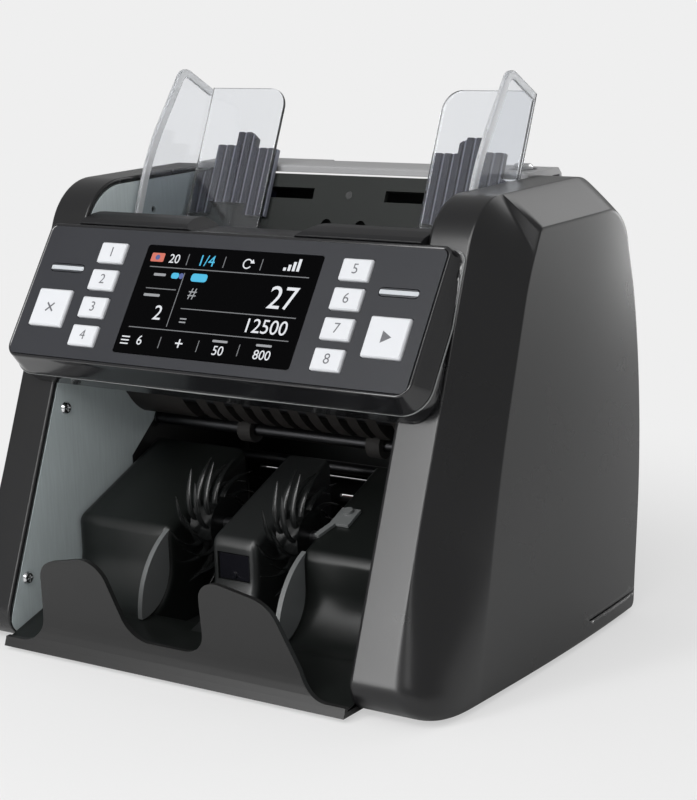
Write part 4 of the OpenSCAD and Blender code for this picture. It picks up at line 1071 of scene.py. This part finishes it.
# Pale floor, soft lamps and a light surround
studio = {
    "backdrop": (0.863, 0.863, 0.863), "worldStrength": 0.60, "mirrorStrength": 0.36,
    "floorTone": (0.70, 0.70, 0.70), "floorHalf": 4000.0,
    # how much of the pale tone the camera sees by the object, and from where to where it grows to all, in m
    "floorGlow": 0.6, "glowFrom": 0.16, "glowTo": 0.45,
    # each lamp: place, aim, width, height and power
    "lamps": {
        "keyLamp": ((-0.3, -1.4, 1.9), (0, 0, 0.1), 1.0, 1.0, 12.0),
        "rearLamp": ((0.5, 1.5, 1.2), (0, 0, 0.1), 1.2, 0.9, 6.0),
        "stripLamp": ((-0.33, -0.86, 0.47), (0.108, -0.053, 0.11), 0.22, 0.95, 6.2),
        "flankLamp": ((0.44, 1.16, 0.08), (0.137, 0.08, 0.1), 0.22, 0.30, 1.3),
        "frontLamp": ((0.45, -1.15, 0.95), (0, -0.03, 0.05), 0.5, 0.5, 4.6),
    },
}


def addLamp(name, place, aim, width, height, power):
    data = bpy.data.lights.new(name, "AREA")
    data.shape, data.size, data.size_y, data.energy = "RECTANGLE", width, height, power
    lamp = addObject(name, data)
    lamp.location = place
    lamp.rotation_euler = (Vector(aim) - Vector(place)).to_track_quat("-Z", "Y").to_euler()


def straightRays(tree):
    # 1 for camera rays and for those that pass through the clear guides
    path = addNode(tree, "LightPath").outputs
    return calc(tree, "MAXIMUM", path["Is Camera Ray"], path["Is Transmission Ray"])


def addSurround():
    # other rays meet a dimmer white, dimmer still in reflections
    world = bpy.data.worlds.new("surround")
    bpy.context.scene.world = world
    world.use_nodes = True
    tree = world.node_tree
    tree.nodes.clear()
    lit, mirrored, pale = (
        addNode(tree, "Background", Color=(*tone, 1), Strength=strength).outputs[0]
        for tone, strength in (((1, 1, 1), studio["worldStrength"]), ((1, 1, 1), studio["mirrorStrength"]),
                               (studio["backdrop"], 1.0)))
    glossy = addNode(tree, "LightPath").outputs["Is Glossy Ray"]
    lit = addNode(tree, "MixShader", i0=glossy, i1=lit, i2=mirrored).outputs[0]
    mix = addNode(tree, "MixShader", i0=straightRays(tree), i1=lit, i2=pale)
    addNode(tree, "OutputWorld", Surface=mix.outputs[0])


def addFloor():
    half = studio["floorHalf"]
    mesh = gridMesh("floor", np.array([[(x, y, 0.0) for x in (-half, half)] for y in (-half, half)]))
    floor = addObject("floor", mesh)
    material, tree, shader = newMaterial(
        "paleFloor", {"Base Color": (*studio["floorTone"], 1), "Roughness": 0.9, "Specular IOR Level": 0.0})
    glow = addNode(tree, "Emission", Color=(*studio["backdrop"], 1), Strength=1.0)
    reach = addNode(tree, "VectorMath", {"operation": "LENGTH"}, i0=ownPlace(tree)).outputs["Value"]
    fade = addNode(tree, "MapRange", {"interpolation_type": "SMOOTHSTEP"}, i0=reach,
                   i1=studio["glowFrom"], i2=studio["glowTo"], i3=studio["floorGlow"], i4=1.0)
    share = calc(tree, "MULTIPLY", straightRays(tree), fade.outputs[0])
    mix = addNode(tree, "MixShader", i0=share, i1=shader.outputs[0], i2=glow.outputs[0])
    tree.links.new(mix.outputs[0], tree.nodes["Material Output"].inputs["Surface"])
    mesh.materials.append(material)


addSurround()
addFloor()
for name, settings in studio["lamps"].items():
    addLamp(name, *settings)
bpy.context.scene.view_settings.view_transform = "Standard"
print("studio set")
